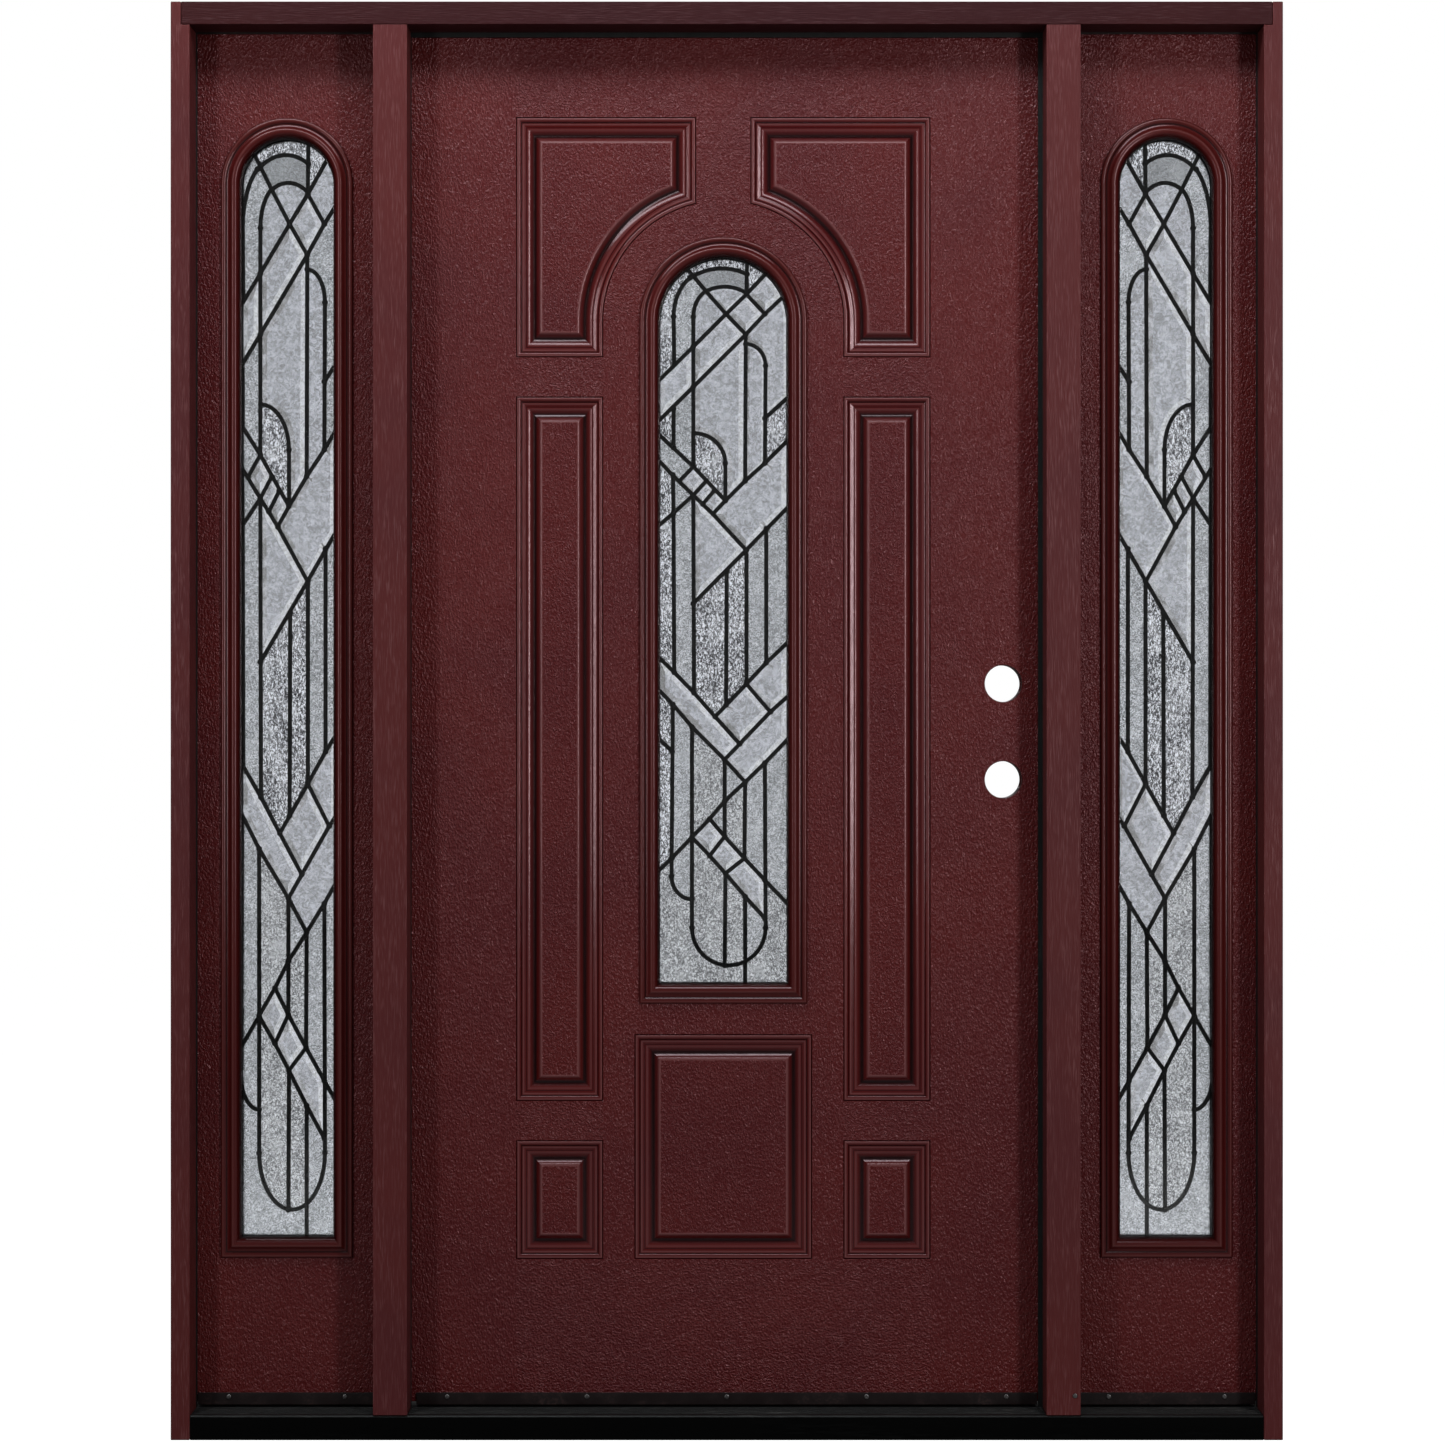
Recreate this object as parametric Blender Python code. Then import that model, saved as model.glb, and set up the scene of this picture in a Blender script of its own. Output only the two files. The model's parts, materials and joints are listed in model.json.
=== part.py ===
"""Prehung entry door unit: one inswing door between two fixed sidelites.

The unit stands on the floor with its origin under the middle of the sill. The street
side faces -Y, X runs to the right as seen from the street, and +Z is up. All sizes are
in metres. Depths such as SHOULDER_Y are measured along Y from mid depth of the jambs.
"""
import math
from collections import namedtuple

import bmesh
import bpy
from mathutils import Vector
from mathutils.geometry import delaunay_2d_cdt

# Frame
UNIT_WIDTH = 1.605
UNIT_HEIGHT = 2.076
JAMB_DEPTH = 0.116
JAMB_FACE = 0.0275
HEAD_FACE = 0.033
MULLION_FACE = 0.049
RABBET = 0.0127
SEAL_SEAT = 0.006
DOOR_OPENING = 0.923
SILL_HEIGHT = 0.036
SILL_NOSE = 0.003

# Slabs
SLAB_THICKNESS = 0.0445
DOOR_REVEAL = 0.003
SIDELITE_REVEAL = 0.001
SLAB_UNDERCUT = 0.007
FIT = 0.0003

# Moulded panels of the door
LAYOUT_SHIFT = -0.005
STILE = 0.1682
TOP_RAIL = 0.132
BOTTOM_RAIL = 0.208
PANEL_GAP = 0.057
SIDE_PANEL_WIDTH = 0.1276
ARCH_PANEL_HEIGHT = 0.3515
LOW_PANEL_HEIGHT = 0.174
CENTRE_PANEL_WIDTH = 0.26
CENTRE_PANEL_HEIGHT = 0.329
ARCH_PANEL_GAP = 0.079
MOULDING_WIDTH = 0.038
MOULDING_DEPTH = 0.0085
FIELD_DEPTH = 0.0015

# Leaded lites: the glass in sight, and the plastic frames round it
DOOR_GLASS_WIDTH = 0.1864
DOOR_GLASS_TOP_MARGIN = 0.3368
DOOR_LITE_GAP = 0.0448
SIDE_GLASS_MARGIN = 0.06515
SIDE_GLASS_TOP_MARGIN = 0.1652
SIDE_GLASS_BOTTOM_MARGIN = 0.24
FRAME_BAND = 0.0295
FRAME_HEIGHT = 0.008
GLASS_HOLD = 0.009
CUTOUT_CLEARANCE = 0.0025
PANE = 0.003
LEAD_DEPTH = 0.007
LEAD_WIDTH = 0.0062
EDGE_LEAD_IN_SIGHT = 0.0012
SIDE_LEAD_OVERHANG = 0.0324
SIDE_LEAD_SHIFT = -0.0022

# Lock bores
BORE_DIAMETER = 0.054
EDGE_BORE_DIAMETER = 0.0254
BACKSET = 0.067
HANDLE_BORE_HEIGHT = 0.909
BORE_SPACING = 0.1405

# Seals and the strips along the slabs' bottom edges
SEAL_IN_SIGHT = 0.007
HINGE_SEAL_IN_SIGHT = 0.001
GASKET_IN_SIGHT = 0.0015
SEAL_BEHIND = 0.009
STRIP_HEIGHT = 0.0175
STRIP_THICKNESS = 0.0028
STRIP_BASE = 0.0037
STRIP_END_GAP = 0.001
FIN_THICKNESS = 0.0015
FIN_CLEARANCE = 0.0006
FIN_INSET = 0.011

# Hinges
HINGE_HEIGHT = 0.1016
LEAF_THICKNESS = 0.0022
LEAF_WIDTH = 0.031
KNUCKLES = 3
KNUCKLE_RADIUS = 0.0062
PIN_RADIUS = 0.003
PIN_CLEARANCE = 0.0004
PIN_OUT = 0.0075
PIN_HEAD_RADIUS = 0.005
PIN_HEAD = 0.003
PIN_TIP = 0.002
TOP_HINGE_MARGIN = 0.178
BOTTOM_HINGE_MARGIN = 0.28

# Fineness of the round forms
ARCH_STEPS = 14
PANEL_ARC_STEPS = 7
BORE_STEPS = 24
HINGE_STEPS = 10
LEAD_ARC_STEP = math.radians(30)
SHORTEST_MITRE = 0.5

# Worked out from the sizes above
FRONT_Y = -JAMB_DEPTH / 2
BACK_Y = JAMB_DEPTH / 2
SLAB_FRONT_Y = BACK_Y - SLAB_THICKNESS
SLAB_MIDDLE_Y = BACK_Y - SLAB_THICKNESS / 2
SHOULDER_Y = SLAB_FRONT_Y - SEAL_SEAT
UNIT_HALF = UNIT_WIDTH / 2
DOOR_HALF = DOOR_OPENING / 2
SIDELITE_OPENING = UNIT_HALF - JAMB_FACE - MULLION_FACE - DOOR_HALF
SIDE_GLASS_WIDTH = SIDELITE_OPENING - 2 * SIDE_GLASS_MARGIN
SIDE_LEAD_WIDTH = SIDE_GLASS_WIDTH + SIDE_LEAD_OVERHANG
SIDELITE_X = DOOR_HALF + MULLION_FACE + SIDELITE_OPENING / 2
SIDELITE_HALF = SIDELITE_OPENING / 2
HEAD_Z = UNIT_HEIGHT - HEAD_FACE
HEAD_RABBET_Z = HEAD_Z + RABBET
DOOR_SLAB_HALF = DOOR_HALF + RABBET - DOOR_REVEAL
SIDELITE_SLAB_HALF = SIDELITE_HALF + RABBET - SIDELITE_REVEAL
SLAB_BOTTOM = SILL_HEIGHT + SLAB_UNDERCUT
DOOR_SLAB_TOP = HEAD_RABBET_Z - DOOR_REVEAL
SIDELITE_SLAB_TOP = HEAD_RABBET_Z - SIDELITE_REVEAL
HINGE_X = -DOOR_HALF - RABBET + DOOR_REVEAL / 2
HINGE_Y = BACK_Y + PIN_OUT
PANE_FRONT_Y = SLAB_MIDDLE_Y - LEAD_DEPTH / 2 - FIT - PANE

# The street face of a panel's moulding, from its outer edge to the field: how far in,
# as shares of MOULDING_WIDTH, and how deep, as shares of MOULDING_DEPTH. The last
# point meets the field.
STREET_MOULDING = ((0, 0), (0.03, 0.19), (0.07, 0.01), (0.15, 0.05), (0.22, 0.35),
                   (0.31, 0.47), (0.40, 0.49), (0.63, 0.85), (0.72, 1), (0.78, 0.95),
                   (0.86, 0.53))
ROOM_MOULDING = ((0, 0), (0.07, 0.1), (0.22, 0.35), (0.40, 0.49), (0.72, 1), (0.86, 0.53))

# The face of a lite's frame, from its outer edge to the glass: how far in, as shares
# of FRAME_BAND, and how high above the slab, as shares of FRAME_HEIGHT.
STREET_FRAME_FACE = ((0, 0.38), (0.05, 0.6), (0.17, 0.7), (0.31, 0.46), (0.48, 0.66),
                     (0.65, 1), (0.82, 0.78), (0.95, 0.06), (1, -0.6))
ROOM_FRAME_FACE = ((0, 0.38), (0.17, 0.7), (0.31, 0.46), (0.65, 1), (0.82, 0.78), (1, -0.6))

# The leads are drawn in millimetres on the door's glass in sight, X from its middle
# and Z up from its bottom edge. Every lite stretches the drawing to its own glass.
DRAWING_WIDTH = 186.4
DRAWING_HEIGHT = 1062.0
STRAIGHT_LEADS = (
    ((-73, 977), (-72, 907)), ((-73, 842), (-73, 785)),
    ((-74, 745), (-73, 689), (-72, 455)), ((-74, 408), (-76, 156)),
    ((-44, 977), (-44, 757)), ((-44, 715), (-43, 425)), ((-46, 375), (-46, 80)),
    ((35, 1070), (34, 1010)), ((33, 951), (32, 736)), ((34, 635), (34, 438)),
    ((32, 294), (31, 182)), ((32, 126), (32, -14)),
    ((62, 905), (61, 762)), ((63, 666), (63, 469)), ((61, 322), (62, 80)),
    ((3, 762), (3, 707)), ((5, 604), (4, 407)), ((2, 327), (2, 214)), ((3, 160), (2, 25)),
    ((-56, 1051), (-25, 1014), (4, 981), (33, 951)), ((34, 1010), (61, 981)),
    ((69, 1047), (34, 1010), (4, 981), (-44, 933), (-106, 872)),
    ((96, 1014), (61, 981), (33, 951), (-44, 874), (-106, 813)),
    ((106, 869), (61, 828)),
    ((106, 807), (61, 762), (32, 736), (3, 707), (-15, 688)),
    ((-106, 815), (-73, 784), (-44, 757), (3, 707)),
    ((-106, 778), (-75, 745), (-44, 715), (-15, 687), (33, 635)),
    ((-44, 757), (-64, 736)), ((-25, 736), (-44, 715), (-73, 689), (-106, 661)),
    ((-13, 722), (-30, 702)),
    ((106, 709), (64, 666), (34, 635), (-44, 556)),
    ((-106, 488), (-72, 455), (-43, 425), (-12, 390), (24, 350)),
    ((106, 510), (63, 469), (34, 438), (-12, 390)), ((34, 438), (69, 397)),
    ((106, 430), (69, 397), (24, 350), (2, 327)),
    ((-106, 441), (-74, 408), (-46, 375), (2, 327), (32, 294)),
    ((-106, 369), (-75, 339)),
    ((106, 369), (61, 322), (32, 294), (2, 266), (-20, 240), (-46, 213), (-75, 183), (-106, 153)),
    ((-20, 240), (2, 214), (31, 182), (61, 150), (106, 103)),
    ((-46, 213), (-20, 186), (3, 160), (32, 126), (61, 94)),
    ((2, 214), (-20, 186)), ((31, 182), (3, 160)),
)
Arc = namedtuple("Arc", "x z radius_x radius_z start end")
ARC_LEADS = (
    Arc(-25, 977, 48, 66, 180, 120), Arc(-2, 964, 84, 84, 123, 64),
    Arc(-9, 977, 35, 43, 180, 123), Arc(2, 962, 59, 59, 121, 57),
    Arc(33, 905, 29, 32, 90, 0), Arc(-43, 762, 46, 44, 90, 0),
    Arc(-46, 156, 30, 34, 180, 270), Arc(8, 80, 54, 55, 180, 360),
)
SMALLEST_GLASS = 60e-6
LEAD_TOLERANCE = 0.0008

Lite = namedtuple("Lite", "name x half bottom top lead_width lead_shift mirrored")
DOOR_LITE = Lite("door", LAYOUT_SHIFT, DOOR_GLASS_WIDTH / 2,
                 SLAB_BOTTOM + BOTTOM_RAIL + CENTRE_PANEL_HEIGHT + DOOR_LITE_GAP + FRAME_BAND,
                 DOOR_SLAB_TOP - DOOR_GLASS_TOP_MARGIN, DOOR_GLASS_WIDTH, 0.0, False)


def sidelite_lite(name, x, mirrored):
    """The lite of one sidelite; the right one mirrors the left one."""
    return Lite(name, x, SIDE_GLASS_WIDTH / 2, SLAB_BOTTOM + SIDE_GLASS_BOTTOM_MARGIN,
                SIDELITE_SLAB_TOP - SIDE_GLASS_TOP_MARGIN, SIDE_LEAD_WIDTH,
                SIDE_LEAD_SHIFT, mirrored)


LEFT_LITE = sidelite_lite("sidelite_left", -SIDELITE_X, False)
RIGHT_LITE = sidelite_lite("sidelite_right", SIDELITE_X, True)


# Outlines in a plane, as lists of points

def rectangle(left, right, low, high):
    return [(left, low), (right, low), (right, high), (left, high)]


def circle(x, z, radius, steps):
    turn = 2 * math.pi / steps
    return [(x + radius * math.cos(i * turn), z + radius * math.sin(i * turn)) for i in range(steps)]


def lite_outline(lite, growth):
    """The arched outline of a lite's glass, moved outward by growth."""
    half = lite.half + growth
    spring = lite.top - lite.half
    points = [(lite.x - half, lite.bottom - growth), (lite.x + half, lite.bottom - growth)]
    for step in range(ARCH_STEPS + 1):
        angle = math.pi * step / ARCH_STEPS
        points.append((lite.x + half * math.cos(angle), spring + half * math.sin(angle)))
    return points


def arched_panel_outline(side, inset):
    """A top corner panel, cut away round the door lite's arch, moved inward by inset."""
    outer = DOOR_SLAB_HALF - STILE - inset
    low = ARCH_PANEL_BOTTOM + inset
    high = PANEL_TOP - inset
    near = ARCH_PANEL_GAP / 2 + inset
    radius = PANEL_ARC_RADIUS + inset
    spring = DOOR_LITE.top - DOOR_LITE.half
    last = math.acos(near / radius)
    points = [(outer, high), (outer, low), (radius, low)]
    for step in range(PANEL_ARC_STEPS + 1):
        angle = last * step / PANEL_ARC_STEPS
        points.append((radius * math.cos(angle), spring + radius * math.sin(angle)))
    points.append((near, high))
    return [(LAYOUT_SHIFT + side * x, z) for x, z in points]


def square_panel_outline(left, right, low, high, inset):
    return rectangle(LAYOUT_SHIFT + left + inset, LAYOUT_SHIFT + right - inset, low + inset, high - inset)


def signed_area(outline):
    pairs = zip(outline, outline[1:] + outline[:1])
    return sum(a[0] * b[1] - b[0] * a[1] for a, b in pairs) / 2


def is_inside(point, outline):
    inside = False
    for a, b in zip(outline, outline[1:] + outline[:1]):
        if (a[1] > point[1]) != (b[1] > point[1]):
            crossing = a[0] + (point[1] - a[1]) * (b[0] - a[0]) / (b[1] - a[1])
            inside ^= point[0] < crossing
    return inside


def triangulate(outlines):
    """Triangles inside the first outline and outside the others, as point numbers."""
    points, edges = [], []
    for outline in outlines:
        first = len(points)
        points += outline
        edges += [(first + i, first + (i + 1) % len(outline)) for i in range(len(outline))]
    found = delaunay_2d_cdt([Vector(p) for p in points], edges, [], 0, 1e-7)
    corners, faces, origins = found[0], found[2], found[3]
    kept = []
    for face in faces:
        middle = sum((corners[i] for i in face), Vector((0, 0))) / 3
        if is_inside(middle, outlines[0]) and not any(is_inside(middle, hole) for hole in outlines[1:]):
            kept.append([origins[i][0] for i in face])
    return kept


# Solids

class Solid:
    """One closed body, put together from loops of points and the faces between them."""

    def __init__(self):
        self.mesh = bmesh.new()

    def loop(self, outline, place):
        """Adds an outline's points; place turns a point of the plane into one in space."""
        return [self.mesh.verts.new(place(*point)) for point in outline]

    def bridge(self, first, second):
        count = len(first)
        for i in range(count):
            j = (i + 1) % count
            self.mesh.faces.new((first[i], first[j], second[j], second[i]))

    def cap(self, outlines, loops):
        corners = [corner for loop in loops for corner in loop]
        for triangle in triangulate(outlines):
            self.mesh.faces.new([corners[i] for i in triangle])

    def prism(self, outlines, near, far):
        """A plate with holes between two places; the first outline is its edge."""
        near_loops = [self.loop(outline, near) for outline in outlines]
        far_loops = [self.loop(outline, far) for outline in outlines]
        self.cap(outlines, near_loops)
        self.cap(outlines, far_loops)
        for first, second in zip(near_loops, far_loops):
            self.bridge(first, second)


def at_y(y):
    return lambda x, z: (x, y, z)


def at_x(x):
    return lambda y, z: (x, y, z)


def at_z(z):
    return lambda x, y: (x, y, z)


def finish(solid, name, material, origin=(0, 0, 0), parent=None, smooth_below=0):
    """Makes the object, with its own origin where the piece is placed or turns."""
    mesh = bpy.data.meshes.new(name)
    bmesh.ops.recalc_face_normals(solid.mesh, faces=solid.mesh.faces)
    bmesh.ops.translate(solid.mesh, verts=solid.mesh.verts, vec=-Vector(origin))
    solid.mesh.to_mesh(mesh)
    solid.mesh.free()
    if smooth_below:
        mesh.shade_smooth()
        mesh.set_sharp_from_angle(angle=math.radians(smooth_below))
    if material:
        mesh.materials.append(material)
    return place(mesh, name, origin, parent)


def place(mesh, name, origin, parent):
    piece = bpy.data.objects.new(name, mesh)
    bpy.context.collection.objects.link(piece)
    piece.location = Vector(origin)
    if parent:
        piece.parent = parent
        piece.location -= parent.location
    return piece


def cut(piece, solid, operation="DIFFERENCE"):
    """Cuts a solid out of a piece, or joins it on, with a guide that isn't part of the model."""
    guide = finish(solid, piece.name + "_guide", None)
    guide.hide_render = True
    guide.display_type = "WIRE"
    modifier = piece.modifiers.new(operation.title(), "BOOLEAN")
    modifier.operation = operation
    modifier.solver = "EXACT"
    modifier.object = guide


def material(name, colour, roughness, metallic=0.0, transmission=0.0):
    made = bpy.data.materials.new(name)
    made.use_nodes = True
    made.diffuse_color = (*colour, 1)
    shader = made.node_tree.nodes["Principled BSDF"]
    shader.inputs["Base Color"].default_value = (*colour, 1)
    shader.inputs["Roughness"].default_value = roughness
    shader.inputs["Metallic"].default_value = metallic
    shader.inputs["Transmission Weight"].default_value = transmission
    return made


# Frame

def box(left, right, front, back, low, high):
    solid = Solid()
    solid.prism([rectangle(left, right, front, back)], at_z(low), at_z(high))
    return solid


def make_jamb(name, side, wood):
    """A side jamb: its thick street part stops under the head, its skin runs on beside it."""
    plan = [(UNIT_HALF, FRONT_Y), (UNIT_HALF, BACK_Y), (UNIT_HALF - JAMB_FACE + RABBET, BACK_Y),
            (UNIT_HALF - JAMB_FACE + RABBET, SHOULDER_Y), (UNIT_HALF - JAMB_FACE, SHOULDER_Y),
            (UNIT_HALF - JAMB_FACE, FRONT_Y)]
    solid = Solid()
    solid.prism([[(side * x, y) for x, y in plan]], at_z(0), at_z(UNIT_HEIGHT))
    jamb = finish(solid, name, wood)
    inner = sorted((side * (UNIT_HALF - JAMB_FACE - RABBET), side * (UNIT_HALF - JAMB_FACE + RABBET)))
    cut(jamb, box(*inner, 2 * FRONT_Y, SHOULDER_Y + FIT, HEAD_Z - FIT, UNIT_HEIGHT + RABBET))


def make_head(wood):
    profile = [(FRONT_Y, HEAD_Z), (SHOULDER_Y, HEAD_Z), (SHOULDER_Y, HEAD_RABBET_Z),
               (BACK_Y, HEAD_RABBET_Z), (BACK_Y, UNIT_HEIGHT), (FRONT_Y, UNIT_HEIGHT)]
    end = UNIT_HALF - JAMB_FACE + RABBET - FIT
    solid = Solid()
    solid.prism([profile], at_x(-end), at_x(end))
    finish(solid, "head_jamb", wood)


def make_mullion(name, side, wood):
    """A post between door and sidelite, standing on the sill and notched under the head."""
    near = DOOR_HALF
    far = DOOR_HALF + MULLION_FACE
    plan = [(near, FRONT_Y), (far, FRONT_Y), (far, SHOULDER_Y), (far - RABBET, SHOULDER_Y),
            (far - RABBET, BACK_Y), (near + RABBET, BACK_Y), (near + RABBET, SHOULDER_Y),
            (near, SHOULDER_Y)]
    solid = Solid()
    solid.prism([[(side * x, y) for x, y in plan]], at_z(SILL_HEIGHT + FIT), at_z(HEAD_RABBET_Z - FIT))
    mullion = finish(solid, name, wood)
    ends = sorted((side * (near - RABBET), side * (far + RABBET)))
    cut(mullion, box(*ends, 2 * FRONT_Y, SHOULDER_Y + FIT, HEAD_Z - FIT, UNIT_HEIGHT))
    return mullion


def make_sill(metal):
    """The sill, wider behind the jambs' shoulders, with an eased nose."""
    narrow = UNIT_HALF - JAMB_FACE - FIT
    wide = narrow + RABBET
    step = SHOULDER_Y + FIT
    plan = [(-narrow, FRONT_Y), (narrow, FRONT_Y), (narrow, step), (wide, step), (wide, BACK_Y),
            (-wide, BACK_Y), (-wide, step), (-narrow, step)]
    solid = Solid()
    solid.prism([plan], at_z(0), at_z(SILL_HEIGHT))
    sill = finish(solid, "sill", metal)
    nose = Solid()
    profile = [(FRONT_Y - SILL_NOSE, SILL_HEIGHT + SILL_NOSE), (FRONT_Y - SILL_NOSE, SILL_HEIGHT - 2 * SILL_NOSE),
               (FRONT_Y + 2 * SILL_NOSE, SILL_HEIGHT + SILL_NOSE)]
    nose.prism([profile], at_x(-wide), at_x(wide))
    cut(sill, nose)


# Slabs

PANEL_TOP = DOOR_SLAB_TOP - TOP_RAIL
ARCH_PANEL_BOTTOM = PANEL_TOP - ARCH_PANEL_HEIGHT
LOW_PANEL_BOTTOM = SLAB_BOTTOM + BOTTOM_RAIL
LOW_PANEL_TOP = LOW_PANEL_BOTTOM + LOW_PANEL_HEIGHT
PANEL_ARC_RADIUS = DOOR_SLAB_HALF - STILE - SIDE_PANEL_WIDTH


def door_panels():
    """One function for each moulded panel, giving its outline at any inset."""
    outer = DOOR_SLAB_HALF - STILE
    inner = outer - SIDE_PANEL_WIDTH
    half = CENTRE_PANEL_WIDTH / 2
    squares = [(-half, half, LOW_PANEL_BOTTOM, LOW_PANEL_BOTTOM + CENTRE_PANEL_HEIGHT)]
    for left, right in ((-outer, -inner), (inner, outer)):
        squares.append((left, right, LOW_PANEL_BOTTOM, LOW_PANEL_TOP))
        squares.append((left, right, LOW_PANEL_TOP + PANEL_GAP, ARCH_PANEL_BOTTOM - PANEL_GAP))
    panels = [lambda inset, s=square: square_panel_outline(*s, inset) for square in squares]
    panels += [lambda inset, s=side: arched_panel_outline(s, inset) for side in (-1, 1)]
    return panels


def lock_bores():
    x = DOOR_SLAB_HALF - BACKSET
    low = SLAB_BOTTOM + HANDLE_BORE_HEIGHT
    return (x, low), (x, low + BORE_SPACING)


def slab_solid(edge, cutouts, panels):
    """A slab with openings right through and moulded panels on both faces."""
    solid = Solid()
    through = [edge] + cutouts
    faces = []
    for y, inward, moulding in ((SLAB_FRONT_Y, 1, STREET_MOULDING), (BACK_Y, -1, ROOM_MOULDING)):
        loops = [solid.loop(outline, at_y(y)) for outline in through]
        faces.append(loops)
        rims = [panel(0) for panel in panels]
        rim_loops = [solid.loop(rim, at_y(y)) for rim in rims]
        solid.cap(through + rims, loops + rim_loops)
        for panel, last in zip(panels, rim_loops):
            for share, depth in moulding[1:]:
                ring = panel(share * MOULDING_WIDTH)
                following = solid.loop(ring, at_y(y + inward * depth * MOULDING_DEPTH))
                solid.bridge(last, following)
                last = following
            field = panel(MOULDING_WIDTH)
            following = solid.loop(field, at_y(y + inward * FIELD_DEPTH))
            solid.bridge(last, following)
            solid.cap([field], [following])
    for front, back in zip(*faces):
        solid.bridge(front, back)
    return solid


def cutout_outline(lite):
    return lite_outline(lite, GLASS_HOLD + CUTOUT_CLEARANCE)


def make_door_slab(skin, hinges, axis):
    edge = rectangle(-DOOR_SLAB_HALF, DOOR_SLAB_HALF, SLAB_BOTTOM, DOOR_SLAB_TOP)
    bores = [circle(x, z, BORE_DIAMETER / 2, BORE_STEPS) for x, z in lock_bores()]
    solid = slab_solid(edge, [cutout_outline(DOOR_LITE)] + bores, door_panels())
    slab = finish(solid, "door_slab", skin, (HINGE_X, HINGE_Y, 0), axis)
    edge_bores = Solid()
    for x, z in lock_bores():
        hole = circle(SLAB_MIDDLE_Y, z, EDGE_BORE_DIAMETER / 2, BORE_STEPS)
        edge_bores.prism([hole], at_x(x), at_x(DOOR_SLAB_HALF + BACKSET))
    cut(slab, edge_bores)
    mortises = Solid()
    for low in hinges:
        recess = rectangle(-DOOR_SLAB_HALF - RABBET, -DOOR_SLAB_HALF + LEAF_THICKNESS + FIT,
                           BACK_Y - LEAF_WIDTH - FIT, BACK_Y + RABBET)
        mortises.prism([recess], at_z(low - FIT), at_z(low + HINGE_HEIGHT + FIT))
    cut(slab, mortises)


def make_sidelite_slab(lite, skin):
    edge = rectangle(lite.x - SIDELITE_SLAB_HALF, lite.x + SIDELITE_SLAB_HALF, SLAB_BOTTOM, SIDELITE_SLAB_TOP)
    finish(slab_solid(edge, [cutout_outline(lite)], []), lite.name + "_slab", skin)


def make_bottom_strip(name, x, half, strip_material, origin=(0, 0, 0), parent=None):
    """The strip along a slab's bottom edge: a street flange, a base and two fins."""
    front = SLAB_FRONT_Y - FIT - STRIP_THICKNESS
    back = BACK_Y - FIT
    base_top = SLAB_BOTTOM - FIT
    base_low = base_top - STRIP_BASE
    fin_low = SILL_HEIGHT + FIN_CLEARANCE
    first = SLAB_FRONT_Y + FIN_INSET
    second = BACK_Y - FIN_INSET
    profile = [(front, base_low), (first, base_low), (first, fin_low), (first + FIN_THICKNESS, fin_low),
               (first + FIN_THICKNESS, base_low), (second - FIN_THICKNESS, base_low),
               (second - FIN_THICKNESS, fin_low), (second, fin_low), (second, base_low), (back, base_low),
               (back, base_top), (SLAB_FRONT_Y - FIT, base_top), (SLAB_FRONT_Y - FIT, base_low + STRIP_HEIGHT),
               (front, base_low + STRIP_HEIGHT)]
    solid = Solid()
    solid.prism([profile], at_x(x - half), at_x(x + half))
    finish(solid, name, strip_material, origin, parent)


# Seals between the shoulders and the slabs

def make_door_seals(rubber):
    front = SHOULDER_Y + FIT
    back = SLAB_FRONT_Y - FIT
    far = DOOR_HALF + SEAL_BEHIND
    for name, side, in_sight in (("weatherstrip_hinge", -1, HINGE_SEAL_IN_SIGHT),
                                 ("weatherstrip_latch", 1, SEAL_IN_SIGHT)):
        near = DOOR_HALF - in_sight
        plan = [(far, front), (far, back), (near + FIT, back), (near, (front + back) / 2), (near + FIT, front)]
        solid = Solid()
        solid.prism([[(side * x, y) for x, y in plan]], at_z(SILL_HEIGHT + FIT),
                    at_z(HEAD_Z - SEAL_IN_SIGHT - FIT))
        finish(solid, name, rubber)
    low = HEAD_Z - SEAL_IN_SIGHT
    profile = [(front, HEAD_Z + SEAL_BEHIND), (back, HEAD_Z + SEAL_BEHIND), (back, low + FIT),
               ((front + back) / 2, low), (front, low + FIT)]
    solid = Solid()
    solid.prism([profile], at_x(-far), at_x(far))
    finish(solid, "weatherstrip_head", rubber)


def make_gasket(lite, rubber):
    """The fixed slab's gasket: up one side, over the top and down the other."""
    outer = SIDELITE_HALF + SEAL_BEHIND
    inner = SIDELITE_HALF - GASKET_IN_SIGHT
    low = SILL_HEIGHT + FIT
    outline = [(-outer, low), (-inner, low), (-inner, HEAD_Z - GASKET_IN_SIGHT),
               (inner, HEAD_Z - GASKET_IN_SIGHT), (inner, low), (outer, low),
               (outer, HEAD_Z + SEAL_BEHIND), (-outer, HEAD_Z + SEAL_BEHIND)]
    solid = Solid()
    solid.prism([[(lite.x + x, z) for x, z in outline]], at_y(SHOULDER_Y + FIT), at_y(SLAB_FRONT_Y - FIT))
    finish(solid, lite.name + "_gasket", rubber)


# Lites

def make_lite_frame(lite, name, face_y, inward, face, plastic, origin, parent):
    """A moulded frame on one face of a slab, with a leg that holds the glass."""
    pane_y = PANE_FRONT_Y if inward > 0 else 2 * SLAB_MIDDLE_Y - PANE_FRONT_Y
    glass_y = pane_y - inward * FIT
    leg = GLASS_HOLD + CUTOUT_CLEARANCE - FIT
    section = [(FRAME_BAND * (1 - share), face_y - inward * height * FRAME_HEIGHT) for share, height in face]
    section += [(0, glass_y), (leg, glass_y), (leg, face_y - inward * FIT), (FRAME_BAND, face_y - inward * FIT)]
    solid = Solid()
    loops = [solid.loop(lite_outline(lite, growth), at_y(y)) for growth, y in section]
    for first, second in zip(loops, loops[1:] + loops[:1]):
        solid.bridge(first, second)
    finish(solid, name, plastic, origin, parent, smooth_below=30)


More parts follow.
